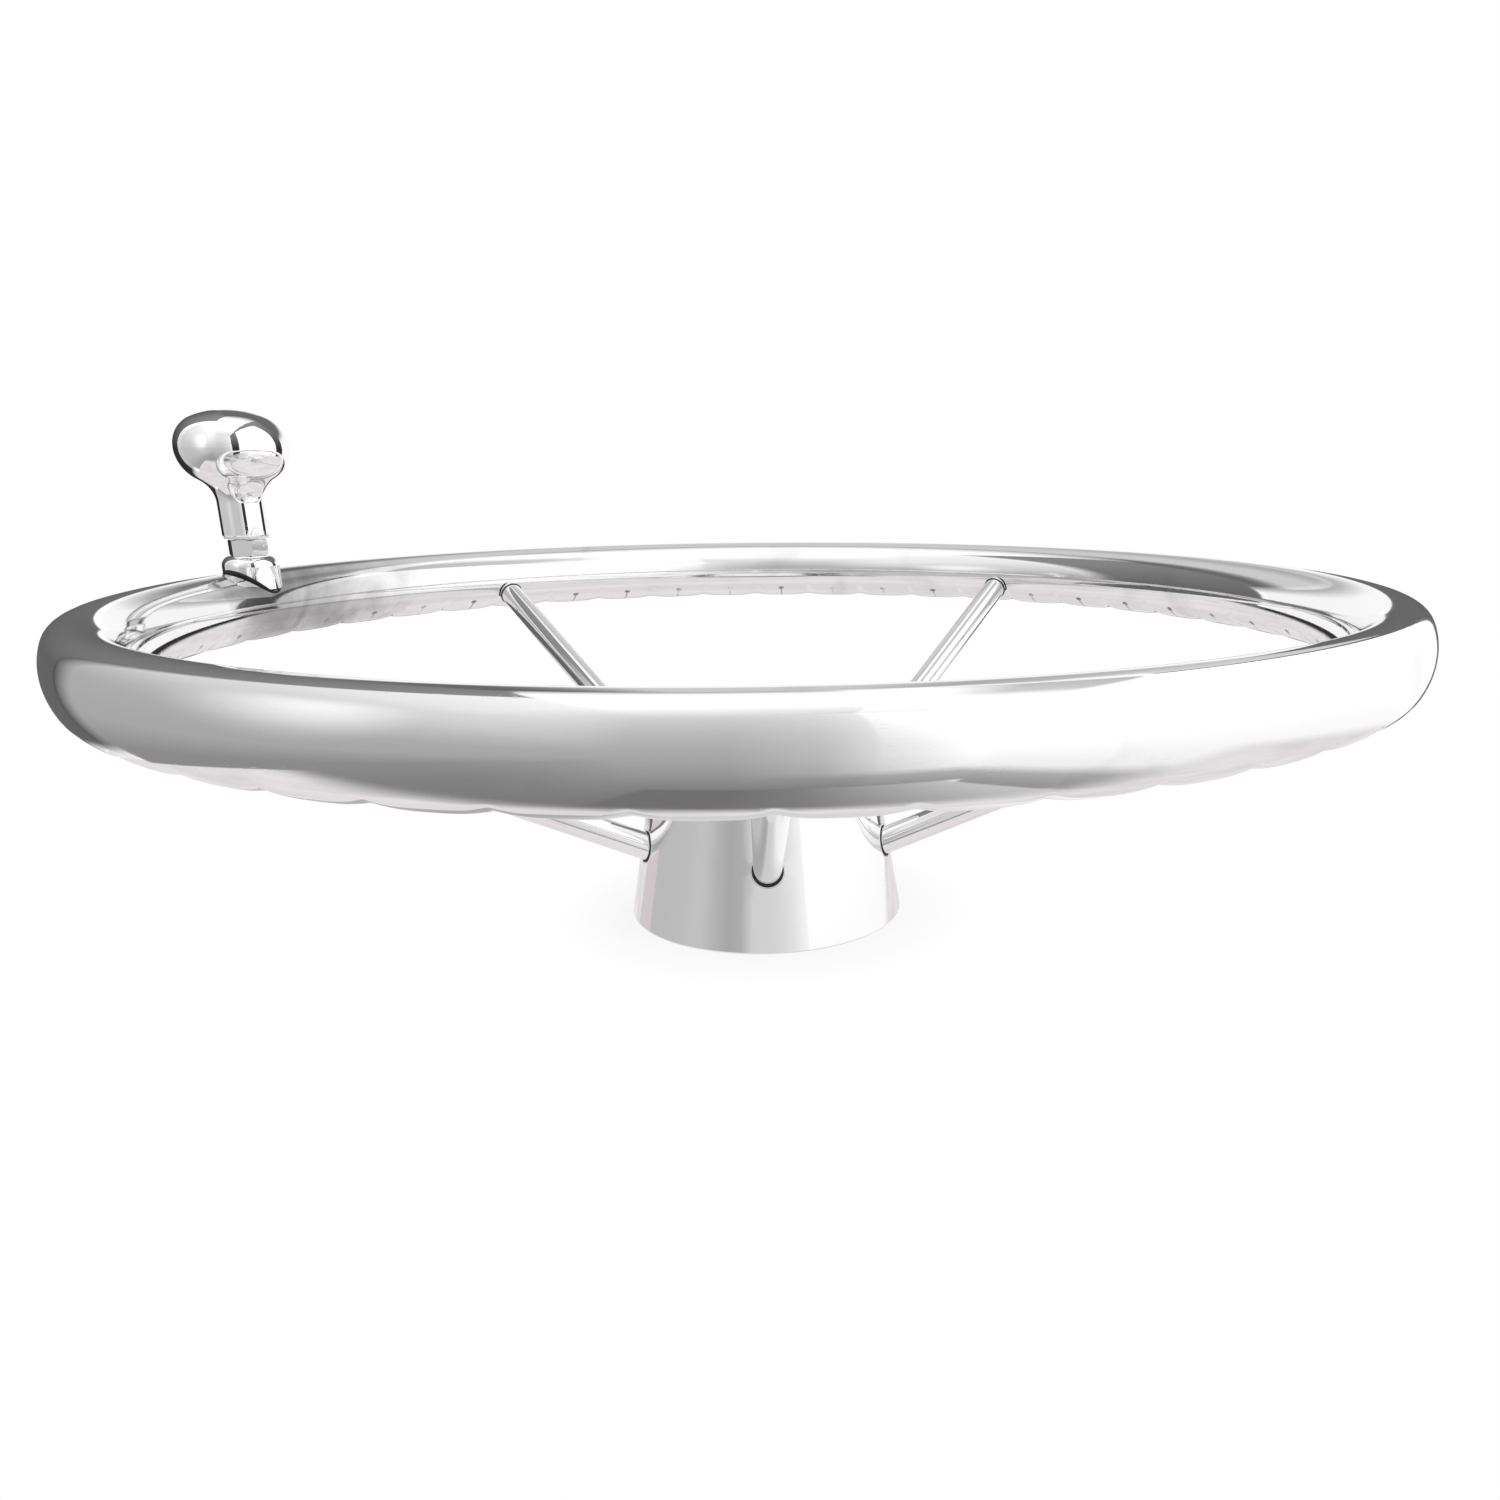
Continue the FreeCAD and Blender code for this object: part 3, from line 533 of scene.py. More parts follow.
def ring_tube(name: str, line: Array, radius: Number, sides: int = 12) -> Mesh:
    """A round tube that follows a closed line, with one radius or one for each point."""
    ahead = unit(np.roll(line, -1, 0) - np.roll(line, 1, 0))
    out = line - line.mean(0)
    out = unit(out - (out * ahead).sum(1, keepdims=True) * ahead)
    side = np.cross(ahead, out)
    angle = angles_round(sides)
    section = np.cos(angle)[None, :, None] * out[:, None] + np.sin(angle)[None, :, None] * side[:, None]
    radii = np.full(len(line), radius)[:, None, None]
    return woven_mesh(name, line[:, None] + section * radii, section)


def meeting_point(start: Array, heading: Array, reach: float, beyond: Test) -> Array:
    """Where a line passes through a surface, which lies within its reach."""
    near, far = 0.0, reach
    for _ in range(HALVINGS):
        middle = (near + far) / 2
        if beyond(start + heading * middle):
            far = middle
        else:
            near = middle
    return start + heading * far


def turn_about_z(points: Array, angle: float) -> Array:
    """Points turned about the wheel's axis by an angle in radians."""
    cosine, sine = cos(angle), sin(angle)
    return points @ np.array([[cosine, sine, 0.0], [-sine, cosine, 0.0], [0.0, 0.0, 1.0]])


def add_object(mesh: Mesh, material: Material) -> Object:
    """Put a mesh in the scene as an object of the same name."""
    mesh.materials.append(material)
    piece = bpy.data.objects.new(mesh.name, mesh)
    bpy.context.scene.collection.objects.link(piece)
    return piece


def dress(mesh: Mesh, slot: Slot, material: Material, *nodes: str) -> None:
    """Make a new piece of the wheel, and give it its material and body.

    Args:
        mesh: The piece's mesh.
        slot: The record's slot that it belongs to; not used.
        material: Its material.
        nodes: The CAD nodes that it stands for.
    """
    piece = add_object(mesh, material)
    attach(piece, Body.WHEEL.value)
    if nodes:
        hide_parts(*nodes)
    log.info("%s: %d faces on %s", piece.name, len(mesh.polygons), Body.WHEEL.value)


def paint_nodes(slot: Slot, finish: Finish, *names: str) -> None:
    """Give CAD nodes that stay in view one finish."""
    material = finish.material()
    for name in names:
        node = frame["nodes"][name]
        for holder in node.material_slots:
            holder.material = material
        log.info("%s: CAD node with %s", name, material.name)


def level_corners(left: float, right: float, front: float, back: float, height: float) -> tuple[Point, ...]:
    """The corners of a level rectangle."""
    return (left, front, height), (right, front, height), (right, back, height), (left, back, height)


def set_up(mesh: Mesh, material: Material, *unseen_by: Ray) -> Object:
    """Add an object of the studio, hidden from some rays."""
    piece = add_object(mesh, material)
    for ray in unseen_by:
        setattr(piece, ray.value, False)
    return piece


# Rim

@dataclass
class Rim:
    """The formed tube with its finger grooves, swept in one fine mesh."""

    crest_inset: float = 7.1 * MM
    face_radius: float = 16.0 * MM
    groove_count: int = 48
    groove_depth: float = 0.9 * MM
    groove_width: float = 18.0 * MM
    groove_tip_radius: float = 10.08 * MM
    groove_inset: float = 0.75 * MM
    groove_rise: float = 0.62 * MM
    cusp_softness: float = 0.5 * MM
    edge_softness: float = 0.3 * MM
    dimple_depth: float = 0.22 * MM
    dimple_radius: float = 1.0 * MM
    dimple_angle: float = radians(-138)
    steps_per_groove: int = 24
    crowding: float = 1.7
    section_steps: int = 64
    normal_step: float = 1e-4
    roughness: float = 0.05
    smudges: float = 0.13

    def __post_init__(self) -> None:
        """Read the tube's size and place from the CAD rim."""
        low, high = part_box("rim")
        self.outer_radius = high.x
        self.half_height = (high.z - low.z) / 2
        self.centre_height = (high.z + low.z) / 2
        self.crest_radius = self.outer_radius - self.crest_inset

    def outline(self, angle: Array) -> Array:
        """Distance of the plain tube's outline from the tube's centre.

        Args:
            angle: Direction from the tube's centre, 0 outward and a quarter turn up.

        Returns:
            The distance in each direction.
        """
        face, rise = self.face_radius, self.half_height
        reach = self.face_radius - self.crest_inset
        shoulder = (face**2 - reach**2 - rise**2) / (2 * (face - rise))
        lift = rise - shoulder
        cosine, sine = np.cos(angle), np.sin(angle)
        side = np.sign(sine)
        turn_over = atan2(lift, reach)
        join_angle = atan2(face * sin(turn_over), face * cos(turn_over) - reach)
        from_face = self.reach_of_circle(cosine, sine, -reach, 0.0, face)
        from_shoulder = self.reach_of_circle(cosine, sine, 0.0, side * lift, shoulder)
        from_middle = np.abs((angle + pi) % FULL_TURN - pi)
        outside = np.where(from_middle < join_angle, from_face, from_shoulder)
        return np.where(from_middle > pi / 2, rise, outside)

    @staticmethod
    def reach_of_circle(cosine: Array, sine: Array, x: float, y: Number, radius: Number) -> Array:
        """Distance from the tube's centre to a circle about (x, y), in the directions given."""
        along = x * cosine + y * sine
        return along + np.sqrt(along**2 - x**2 - y**2 + radius**2)

    def surface(self, angle: Array, azimuth: Array) -> Array:
        """Points of the grooved tube.

        Args:
            angle: Directions round the tube's section.
            azimuth: Directions round the wheel, from the middle of a groove.

        Returns:
            The points, in metres.
        """
        pitch = FULL_TURN / self.groove_count
        along = ((azimuth + pitch / 2) % pitch - pitch / 2) * self.crest_radius
        half_width = self.groove_width / 2
        flank = (half_width**2 / self.groove_depth + self.groove_depth) / 2
        from_cusp = np.hypot(along, self.cusp_softness) - self.cusp_softness
        to_mouth = np.maximum(half_width - from_cusp, 0)
        mouth = self.groove_tip_radius + self.groove_depth
        cut = mouth - flank + np.sqrt(flank**2 - to_mouth**2)
        plain = self.outline(angle)
        cosine, sine = np.cos(angle), np.sin(angle)
        grooved = self.reach_of_circle(cosine, sine, -self.groove_inset, self.groove_rise, cut)
        overlap = np.maximum(self.edge_softness - np.abs(plain - grooved), 0) / self.edge_softness
        distance = np.minimum(plain, grooved) - overlap**2 * self.edge_softness / 4
        from_end = ((angle - self.dimple_angle + pi) % FULL_TURN - pi) * self.half_height
        distance -= self.dimple_depth * np.exp(-(from_end**2 + along**2) / self.dimple_radius**2)
        radius = self.crest_radius + distance * cosine
        height = self.centre_height + distance * sine
        direction = azimuth - pi / 2
        return np.stack([radius * np.cos(direction), radius * np.sin(direction), height], -1)

    def normals(self, angle: Array, azimuth: Array) -> Array:
        """The surface's outward normals, from small steps both ways."""
        step = self.normal_step
        across = self.surface(angle + step, azimuth) - self.surface(angle - step, azimuth)
        along = self.surface(angle, azimuth + step / 10) - self.surface(angle, azimuth - step / 10)
        return unit(np.cross(along, across))

    def build(self) -> None:
        """Sweep the section round the wheel, with the rows closest together at each groove's cusp."""
        half = self.steps_per_groove // 2
        share = np.arange(-half, half) / half
        crowded = np.sign(share) * np.abs(share) ** self.crowding / 2
        pitch = FULL_TURN / self.groove_count
        azimuth = (np.arange(self.groove_count)[:, None] + crowded[None, :]).ravel() * pitch
        angle = -angles_round(self.section_steps)
        azimuths, angles = np.meshgrid(azimuth, angle, indexing="ij")
        mesh = woven_mesh("rim_tube", self.surface(angles, azimuths), self.normals(angles, azimuths))
        finish = GroovedSteel("polished_rim", rim=self, roughness=self.roughness, smudge_shade=self.smudges)
        dress(mesh, Slot.POLISHED, finish.material(), "rim")

    def under_top(self, point: Array) -> bool:
        """Whether a point over the tube's middle is below its upper surface."""
        return point[2] < self.centre_height or self.holds(point)

    def holds(self, point: Array) -> bool:
        """Whether a point is inside the plain tube."""
        radial = hypot(point[0], point[1]) - self.crest_radius
        height = point[2] - self.centre_height
        limit = self.outline(np.array([atan2(height, radial)]))[0]
        return hypot(radial, height) < limit


# Spokes

@dataclass
class Spokes:
    """Five rods, each with a painted shadow line where it enters the rim, a painted shadow ring in its cover
    hole, a lip at the cover and a weld at the boss.
    """

    rim: Rim
    radius: float = 3.9 * MM
    hub_height: float = 22.75 * MM
    hub_radius: float = 35.989 * MM
    start_radius: float = 13.0 * MM
    end_radius: float = 160.1 * MM
    boss_radius: float = 17.0 * MM
    end_rounding: float = 0.4 * MM
    end_steps: int = 7
    seam_radius: float = 0.2 * MM
    bead_radius: float = 1.5 * MM
    bead_ripples: int = 14
    bead_least: float = 0.9
    bead_swell: float = 0.12
    gap_clearance: float = 0.15 * MM
    gap_radius: float = 0.4 * MM
    gap_sag: float = 0.45
    lip_clearance: float = 0.85 * MM
    lip_radius: float = 0.14 * MM
    cover_radius: float = 40.0 * MM
    cover_slope: float = tan(radians(10))
    around: int = 96
    count: int = 5
    rod: PolishedSteel = PolishedSteel("polished_rod", scratch_depth=0.004 * MM)
    # Near-black finish of the painted shadow rings where the rods enter the rim and the cover.
    seam: Moulded = Moulded("seam_shadow", (0.02, 0.02, 0.02), 0.6)
    lip: PolishedSteel = PolishedSteel("polished_lip", roughness=0.08)
    weld: TurnedSteel = TurnedSteel("weld_bead", tint=(0.5, 0.48, 0.45), roughness=0.35, ring_pitch=0.9 * MM)

    def __post_init__(self) -> None:
        """Work out the rods' slope from the hub to the rim's centre line."""
        run = self.rim.crest_radius - self.hub_radius
        self.slope = atan2(self.rim.centre_height - self.hub_height, run)
        self.heading = np.array([0.0, -cos(self.slope), sin(self.slope)])
        self.across = np.array([1.0, 0.0, 0.0])
        self.above = np.cross(self.heading, self.across)

    def axis_point(self, radius: float) -> Array:
        """A point on the front rod's axis at a distance from the wheel's axis."""
        rise = (radius - self.hub_radius) * tan(self.slope)
        return np.array([0.0, -radius, self.hub_height + rise])

    def ring(self, steps: int) -> Array:
        """Unit vectors all round, square to the front rod."""
        angle = angles_round(steps)
        return np.cos(angle)[:, None] * self.across + np.sin(angle)[:, None] * self.above

    def rod_mesh(self, name: str, turned: float) -> Mesh:
        """One rod as a fine tube with rounded ends, turned about the wheel's axis."""
        first, last = self.axis_point(self.start_radius), self.axis_point(self.end_radius)
        length = np.linalg.norm(last - first)
        bend = self.end_rounding
        core = self.radius - bend
        tilts = np.linspace(pi / 2, 0, self.end_steps)
        starts = [(bend * (1 - sin(t)), core + bend * cos(t), -t) for t in tilts]
        profile = starts + [(length - along, radius, -tilt) for along, radius, tilt in reversed(starts)]
        ring = self.ring(self.around)
        points = np.array([first + self.heading * along + ring * radius for along, radius, _ in profile])
        normals = np.array([self.heading * sin(tilt) + ring * cos(tilt) for _, _, tilt in profile])
        return woven_mesh(name, turn_about_z(points, turned), turn_about_z(normals, turned), wraps=False)

    def line_round_rod(self, clearance: float, steps: int, beyond: Test) -> Array:
        """Where a tube about the front rod, wider by a clearance, passes through a surface."""
        starts = self.axis_point(0.0) + self.ring(steps) * (self.radius + clearance)
        reach = self.rim.outer_radius
        return np.array([meeting_point(start, self.heading, reach, beyond) for start in starts])

    def past_cover(self, point: Array) -> bool:
        """Whether a point is outside the cover's cone."""
        return hypot(point[0], point[1]) > self.cover_radius - point[2] * self.cover_slope

    def past_boss(self, point: Array) -> bool:
        """Whether a point is outside the boss."""
        return hypot(point[0], point[1]) > self.boss_radius

    def build(self) -> None:
        """Make the rods, their painted shadow rings at the rim and in the cover holes, their lips and their
        welds.
        """
        rod, seam, lip, weld = (finish.material() for finish in (self.rod, self.seam, self.lip, self.weld))
        # The painted shadow ring in each cover hole is thickest below the rod.
        below = (1 - np.sin(angles_round(self.around))) / 2
        gap_radius = self.gap_radius * (1 - self.gap_sag + self.gap_sag * below)
        gap_line = self.line_round_rod(self.gap_clearance, self.around, self.past_cover)
        seam_line = self.line_round_rod(self.seam_radius / 2, self.around, self.rim.holds)
        lip_line = self.line_round_rod(self.lip_clearance, self.around, self.past_cover)
        bead_line = self.line_round_rod(0.0, self.around * 2, self.past_boss)
        beat = np.abs(np.sin(angles_round(len(bead_line)) * self.bead_ripples / 2))
        bead_radius = self.bead_radius * (self.bead_least + self.bead_swell * beat)
        for number in range(self.count):
            name = f"spoke_{number + 1}"
            turned = number * FULL_TURN / self.count
            dress(self.rod_mesh(f"{name}_rod", turned), Slot.POLISHED, rod, name)
            for kind, line, radius, slot, material in (
                ("seam", seam_line, self.seam_radius, Slot.POLISHED, seam),
                ("gap", gap_line, gap_radius, Slot.POLISHED, seam),
                ("lip", lip_line, self.lip_radius, Slot.POLISHED, lip),
                ("weld", bead_line, bead_radius, Slot.TURNED, weld),
            ):
                dress(ring_tube(f"{name}_{kind}", turn_about_z(line, turned), radius), slot, material)


# Hub and knob

@dataclass
class Hub:
    """The cone, its boss and cup, the nut and washer, and the cap."""

    cover: PolishedSteel = PolishedSteel("polished_cover", roughness=0.02)
    cap: PolishedSteel = PolishedSteel("polished_cap", roughness=0.02)
    core: TurnedSteel = TurnedSteel("turned_hub")
    ring: Moulded = Moulded("ring_rubber", (0.03, 0.03, 0.03), 0.6)

    def build(self) -> None:
        """Dress the hub's CAD pieces."""
        paint_nodes(Slot.POLISHED, self.cover, "hub_cover")
        paint_nodes(Slot.POLISHED, self.cap, "centre_cap")
        paint_nodes(Slot.TURNED, self.core, "hub_boss", "hub_cup", "hub_washer", "wheel_nut")
        paint_nodes(Slot.RUBBER, self.ring, "cap_ring")


@dataclass
class Knob:
    """The turning knob with its foot, bearings and clip."""

    rim: Rim
    # The near-black ring under the saddle is painted shadow in the joint with the rim, thickest towards the
    # front left.
    gap_circle: float = 7.6 * MM
    gap_lift: float = 0.3 * MM
    gap_radius: float = 0.5 * MM
    gap_swell: float = 0.75
    gap_swell_angle: float = radians(-129)
    gap_steps: int = 96
    polished: PolishedSteel = PolishedSteel(
        "polished_knob", tint=(0.94, 0.94, 0.94), roughness=0.015, haze=0.01, smudges=0.02
    )
    saddle_shadow: Moulded = Moulded("joint_shadow", (0.02, 0.02, 0.02), 0.6)
    clip: Moulded = Moulded("clip_steel", (0.3, 0.29, 0.28), 0.35, metallic=1.0)
    bush: Moulded = Moulded("bush_acetal", (0.86, 0.86, 0.84), 0.35, mottle=0.05)

    def gap_line(self, turns: Array) -> Array:
        """The saddle's lower edge on the rim, with one point at each angle about the knob's axis."""
        across, along, _ = KNOB_PLACE
        start_height = self.rim.centre_height + 2 * self.rim.half_height
        reach = 3 * self.rim.half_height
        down = np.array([0.0, 0.0, -1.0])
        points = []
        for turn in turns:
            out = self.gap_circle * np.array([cos(turn), sin(turn)])
            start = np.array([across + out[0], along + out[1], start_height])
            points.append(meeting_point(start, down, reach, self.rim.under_top) - down * self.gap_lift)
        return np.array(points)

    def build(self) -> None:
        """Dress the knob's CAD pieces and make the painted shadow ring under its saddle."""
        turns = angles_round(self.gap_steps)
        # Painted shadow, thicker towards the front left.
        thickness = self.gap_radius * (1 + self.gap_swell * np.cos(turns - self.gap_swell_angle))
        saddle_shadow = ring_tube("saddle_joint", self.gap_line(turns), thickness)
        dress(saddle_shadow, Slot.POLISHED, self.saddle_shadow.material())
        turned = TurnedSteel("turned_knob", axis=KNOB_PLACE)
        paint_nodes(Slot.POLISHED, self.polished, *KNOB_STEEL)
        paint_nodes(Slot.TURNED, turned, "knob_insert", "knob_spindle", "knob_thrust_washer")
        paint_nodes(Slot.SPRING, self.clip, "knob_clip")
        paint_nodes(Slot.ACETAL, self.bush, "knob_lower_bush", "knob_upper_bush")


# Studio

@dataclass(frozen=True)
class Ramp:
    """Light that changes along one axis, from one place and level to the next."""

    axis: Axis
    stops: Stops

    def level(self, graph: Graph, coordinates: tuple[Value, Value, Value], peak: float) -> Value:
        """The level at a surface point, as a share of the peak."""
        low, high = self.stops[0][0], self.stops[-1][0]
        share = (coordinates[self.axis.value] - low) / (high - low)
        stops = [((place - low) / (high - low), level / peak) for place, level in self.stops]
        return Value(graph, graph.ramp(share, stops))


@dataclass(frozen=True)
class Glow:
    """A lamp's soft spot on a card."""

    place: Point
    radius: float
    level: float


class Seen(Enum):
    """Which pieces a card lights."""

    BY_ALL = "all"
    BY_KNOB = "INCLUDE"
    BY_REST = "EXCLUDE"


@dataclass(frozen=True)
class Card:
    """A flat card of light that only reflections and soft light see.

    One that lights some pieces only is clear, and adds its light to what is behind it.
    """

    name: str
    corners: tuple[Point, ...]
    base: Ramp
    other: Ramp | None = None
    share: Ramp | None = None
    glow: Glow | None = None
    seen: Seen = Seen.BY_ALL
    peak: float = 1.2

    @classmethod
    def upright(cls, name: str, start: Pair, end: Pair, *looks: Ramp | Glow | None,
                bottom: float = FLOOR, top: float = CEILING, seen: Seen = Seen.BY_ALL) -> "Card":
        """An upright card between two places in plan."""
        corners = ((*start, bottom), (*end, bottom), (*end, top), (*start, top))
        return cls(name, corners, *looks, seen=seen)

    def build(self) -> None:
        """Make the card and its light."""
        material, graph = new_material(self.name)
        place = graph.place()
        coordinates = graph.split(place)
        level = self.base.level(graph, coordinates, self.peak)
        if self.other:
            change = self.other.level(graph, coordinates, self.peak) - level
            level = level + change * self.share.level(graph, coordinates, 1.0)
        if self.glow:
            away = graph.length(graph.arrange(place, "SUBTRACT", self.glow.place))
            level = level + away.rise(self.glow.radius, 0.0) * (self.glow.level / self.peak)
        shine = graph.glow(graph.grey(level), self.peak)
        mesh = plain_mesh(self.name, self.corners, QUAD)
        if self.seen is Seen.BY_ALL:
            graph.finish(shine)
            set_up(mesh, material, Ray.CAMERA)
        else:
            graph.finish(graph.add("ShaderNodeAddShader", {0: graph.clear(), 1: shine}).outputs[0])
            self.restrict(set_up(mesh, material, *REFLECTED_ONLY))

    def restrict(self, card: Object) -> None:
        """Let the card light only the knob, or only the rest."""
        receivers = bpy.data.collections.new(f"{self.name}_receivers")
        for node in KNOB_STEEL:
            receivers.objects.link(frame["nodes"][node])
        for entry in receivers.collection_objects:
            entry.light_linking.link_state = self.seen.value
        card.light_linking.receiver_collection = receivers


@dataclass
class Studio:
    """A pale table in a tent of cards, and the camera."""

    table_size: Box = (-0.6, 0.6, -0.5, 0.8)
    table_colour: Colour = (0.9, 0.865, 0.885)
    shadow_edge: Pair = (0.065, 0.038)
    shadow_depth: float = 0.16
    cloth_size: Box = (-0.52, 0.52, -0.25, 0.6)
    cloth_height: float = -0.1
    cloth_fade: float = 0.1
    cloth_colour: Colour = (0.76, 0.728, 0.746)
    fold_scale: float = 14.0
    fold_edge: Pair = (0.3, 0.7)
    fold_light: float = 1.14
    strip_radius: float = 0.143
    strip_bottom: float = -0.03
    strip_top: float = 0.058
    strip_turn: Pair = (radians(-212), radians(-62))
    strip_steps: int = 25
    strip_far_end: Pair = (0.027, 0.033)
    strip_far_colour: Colour = (0.69, 0.62, 0.65)
    front: float = -1.14
    left: float = -0.4
    left_turn: float = 0.06
    left_end: float = 0.12
    left_fade: Pair = (0.04, 0.125)
    lamp: Glow = Glow((-0.4, -0.25, 0.24), 0.2, 0.4)
    lamp_fill: Glow = Glow((-0.4, -0.25, 0.26), 0.3, 0.12)
    layer: float = 0.01
    slit_start: float = 0.3
    softbox_corner: Pair = (0.6, -1.14)
    softbox_near: Pair = (0.607, -1.045)
    softbox_far: Pair = (0.718, 0.496)
    softbox_end: Pair = (0.73, 0.66)
    softbox_top: float = 1.75
    backdrop_place: float = 0.75
    backdrop_ends: Pair = (-0.45, 0.5)
    backdrop_bottom: float = -0.1
    wall_fill_start: float = -0.3
    wall_fill_bottom: float = 0.4
    overhead_split: float = 0.1
    overhead_end: float = 0.9
    overhead_fill_start: float = 0.05
    overhead_fill_depth: float = 0.2
    floor_end: float = 0.6
    soft_light: Colour = (0.8, 0.8, 0.8)
    room_grey: Stops = ((0.0, 0.03), (0.5, 0.03), (0.62, 0.1), (1.0, 0.3))
    camera_place: Point = (-3.249 * MM, -346.529 * MM, 127.335 * MM)
    camera_yaw: float = -0.0711
    camera_pitch: float = 0.3433
    camera_roll: float = -0.0043
    focal_pixels: float = 1218.71
    axis_pixel: Pair = (837.95, 892.27)
    image_pixels: float = 1500.0
    sensor: float = 36.0
    clip_start: float = 0.01

    def build(self) -> None:
        """Set the table, the cards, the world and the camera."""
        self.build_table()
        self.build_cloth()
        self.build_strip()
        for card in self.cards():
            card.build()
        self.build_world()
        self.build_camera()
        bpy.context.scene.view_settings.view_transform = "Standard"

    def cards(self) -> list[Card]:
        """The cards of the tent."""
        front_grey = Ramp(Axis.Z, (
            (FLOOR, 0.23), (-0.47, 0.31), (-0.1, 0.4), (0.1, 0.44), (0.26, 0.48), (0.44, 0.53), (0.65, 0.61),
            (0.9, 0.69), (CEILING, 0.77),
        ))
        left_grey = Ramp(Axis.Z, (
            (FLOOR, 0.2), (-0.2, 0.24), (-0.05, 0.29), (0.03, 0.42), (0.12, 0.45), (0.2, 0.55), (0.3, 0.7),
            (0.55, 0.9), (CEILING, 1.05),
        ))
        white = Ramp(Axis.Z, ((FLOOR, 0.3), (-0.5, 0.45), (-0.35, 0.95), (0.0, 1.12), (CEILING, 1.12)))
        front, left, right, slit = self.front, self.left, self.softbox_end[0], self.slit_start
        back, deep, split = self.backdrop_place, self.overhead_end, self.overhead_split
        overhead = Ramp(Axis.Y, (
            (front, 0.77), (-0.76, 0.95), (-0.54, 1.12), (0.37, 1.12), (0.52, 0.87), (0.75, 0.3),
            (deep, 0.15),
        ))
        shaded_overhead = Ramp(Axis.Y, ((front, 0.77), (-0.54, 1.12), (-0.2, 0.8), (0.0, 0.4), (deep, 0.25)))
        to_shade = Ramp(Axis.X, ((0.25, 0.0), (0.45, 1.0)))
        to_corner = Ramp(Axis.Y, ((front, 1.0), (-0.45, 0.0)))
        to_dim = Ramp(Axis.Y, ((self.left_turn, 0.0), (self.left_end, 1.0)))
        to_softbox = Ramp(Axis.X, ((-0.1, 0.0), (0.15, 0.18), (0.3, 0.5), (0.6, 1.0)))
        behind = Ramp(Axis.Z, ((-0.1, 1.0), (0.3, 1.0), (0.45, 0.15), (CEILING, 0.15)))
        dim = Ramp(Axis.Z, ((FLOOR, 0.12), (0.1, 0.1), (0.4, 0.04), (CEILING, 0.0)))
        fill = Ramp(Axis.Z, ((FLOOR, 0.05), (0.1, 0.13), (0.5, 0.16), (CEILING, 0.1)))
        top_fill = Ramp(Axis.X, ((0.05, 0.0), (0.3, 0.3), (0.73, 0.55)))
        wall_fill = Ramp(Axis.X, (
            (-0.3, 0.0), (-0.22, 0.12), (-0.12, 0.5), (0.1, 0.5), (0.25, 0.3), (0.73, 0.55),
        ))
        under = Ramp(Axis.X, ((-0.1, 0.18), (0.1, 0.24), (0.3, 0.38), (0.6, 0.6)))
        upright, knob, rest, top = Card.upright, Seen.BY_KNOB, Seen.BY_REST, CEILING
        corner, near, far, end = self.softbox_corner, self.softbox_near, self.softbox_far, self.softbox_end
        bend, bent = self.left_turn, self.left_end
        inner_left, outer_left = left + self.layer, left - self.layer
        fade_start, fade_end = self.left_fade
        wall_start, wall_end = self.backdrop_ends
        before_back, before_front = back - self.layer, front + self.layer
        top_start, top_front = self.overhead_fill_start, back - self.overhead_fill_depth
        under_top = CEILING - self.layer
        return [
            upright("front_card", (left, front), (slit, front), front_grey, white, to_softbox),
            upright("slit_card", (slit, front), corner, front_grey, white, to_softbox, seen=rest),
            upright("left_card", (left, front), (left, bend), left_grey, front_grey, to_corner, self.lamp),
            upright("left_fill", (inner_left, front), (inner_left, bent), fill, None, None, self.lamp_fill,
                    seen=knob),
            upright("front_fill", (left, before_front), (slit, before_front), fill, seen=knob),
            upright("left_card_end", (left, bend), (left, bent), left_grey, seen=knob),
            upright("left_fade", (outer_left, fade_start), (outer_left, fade_end), left_grey, dim, to_dim,
                    seen=rest),
            upright("left_back", (left, bent), (left, back), dim, seen=rest),
            upright("softbox_start", corner, near, white, seen=rest),
            upright("softbox_middle", near, far, white),
            upright("softbox_end", far, end, white, seen=rest),
            upright("softbox_top", near, far, white, bottom=top, top=self.softbox_top, seen=knob),
            upright("right_back", end, (wall_end, back), dim, seen=rest),
            upright("backdrop", (wall_start, back), (wall_end, back), behind, bottom=self.backdrop_bottom),
            upright("back_fill", (self.wall_fill_start, before_back), (right, before_back), wall_fill,
                    bottom=self.wall_fill_bottom, seen=rest),
            Card("overhead", ((left, front, top), (slit, front, top), (split, deep, top), (left, deep, top)),
                 overhead),
            Card("overhead_right",
                 ((slit, front, top), (right, front, top), (right, deep, top), (split, deep, top)),
                 overhead, shaded_overhead, to_shade, seen=rest),
            Card("overhead_fill", level_corners(top_start, right, top_front, back, under_top), top_fill,
                 seen=rest),
            Card("low_floor", level_corners(left, right, front, self.floor_end, FLOOR), under),
        ]

    def build_table(self) -> None:
        """The pale table, white to the camera but for a soft shadow, and clear in reflections."""
        material, graph = new_material("pale_table")
        near = graph.length(graph.place()).rise(*self.shadow_edge)
        shown = graph.ray_is("Is Camera Ray") * (1 - near * self.shadow_depth)
        matt = graph.add("ShaderNodeBsdfDiffuse", {"Color": self.table_colour}).outputs[0]
        behind = Value(graph, graph.add("ShaderNodeNewGeometry").outputs["Backfacing"])
        face = graph.blend_shaders(shown, matt, graph.glow(WHITE))
        graph.finish(graph.blend_shaders(behind, face, graph.clear()))
        set_up(plain_mesh("table", level_corners(*self.table_size, 0.0), QUAD), material, Ray.GLOSSY)

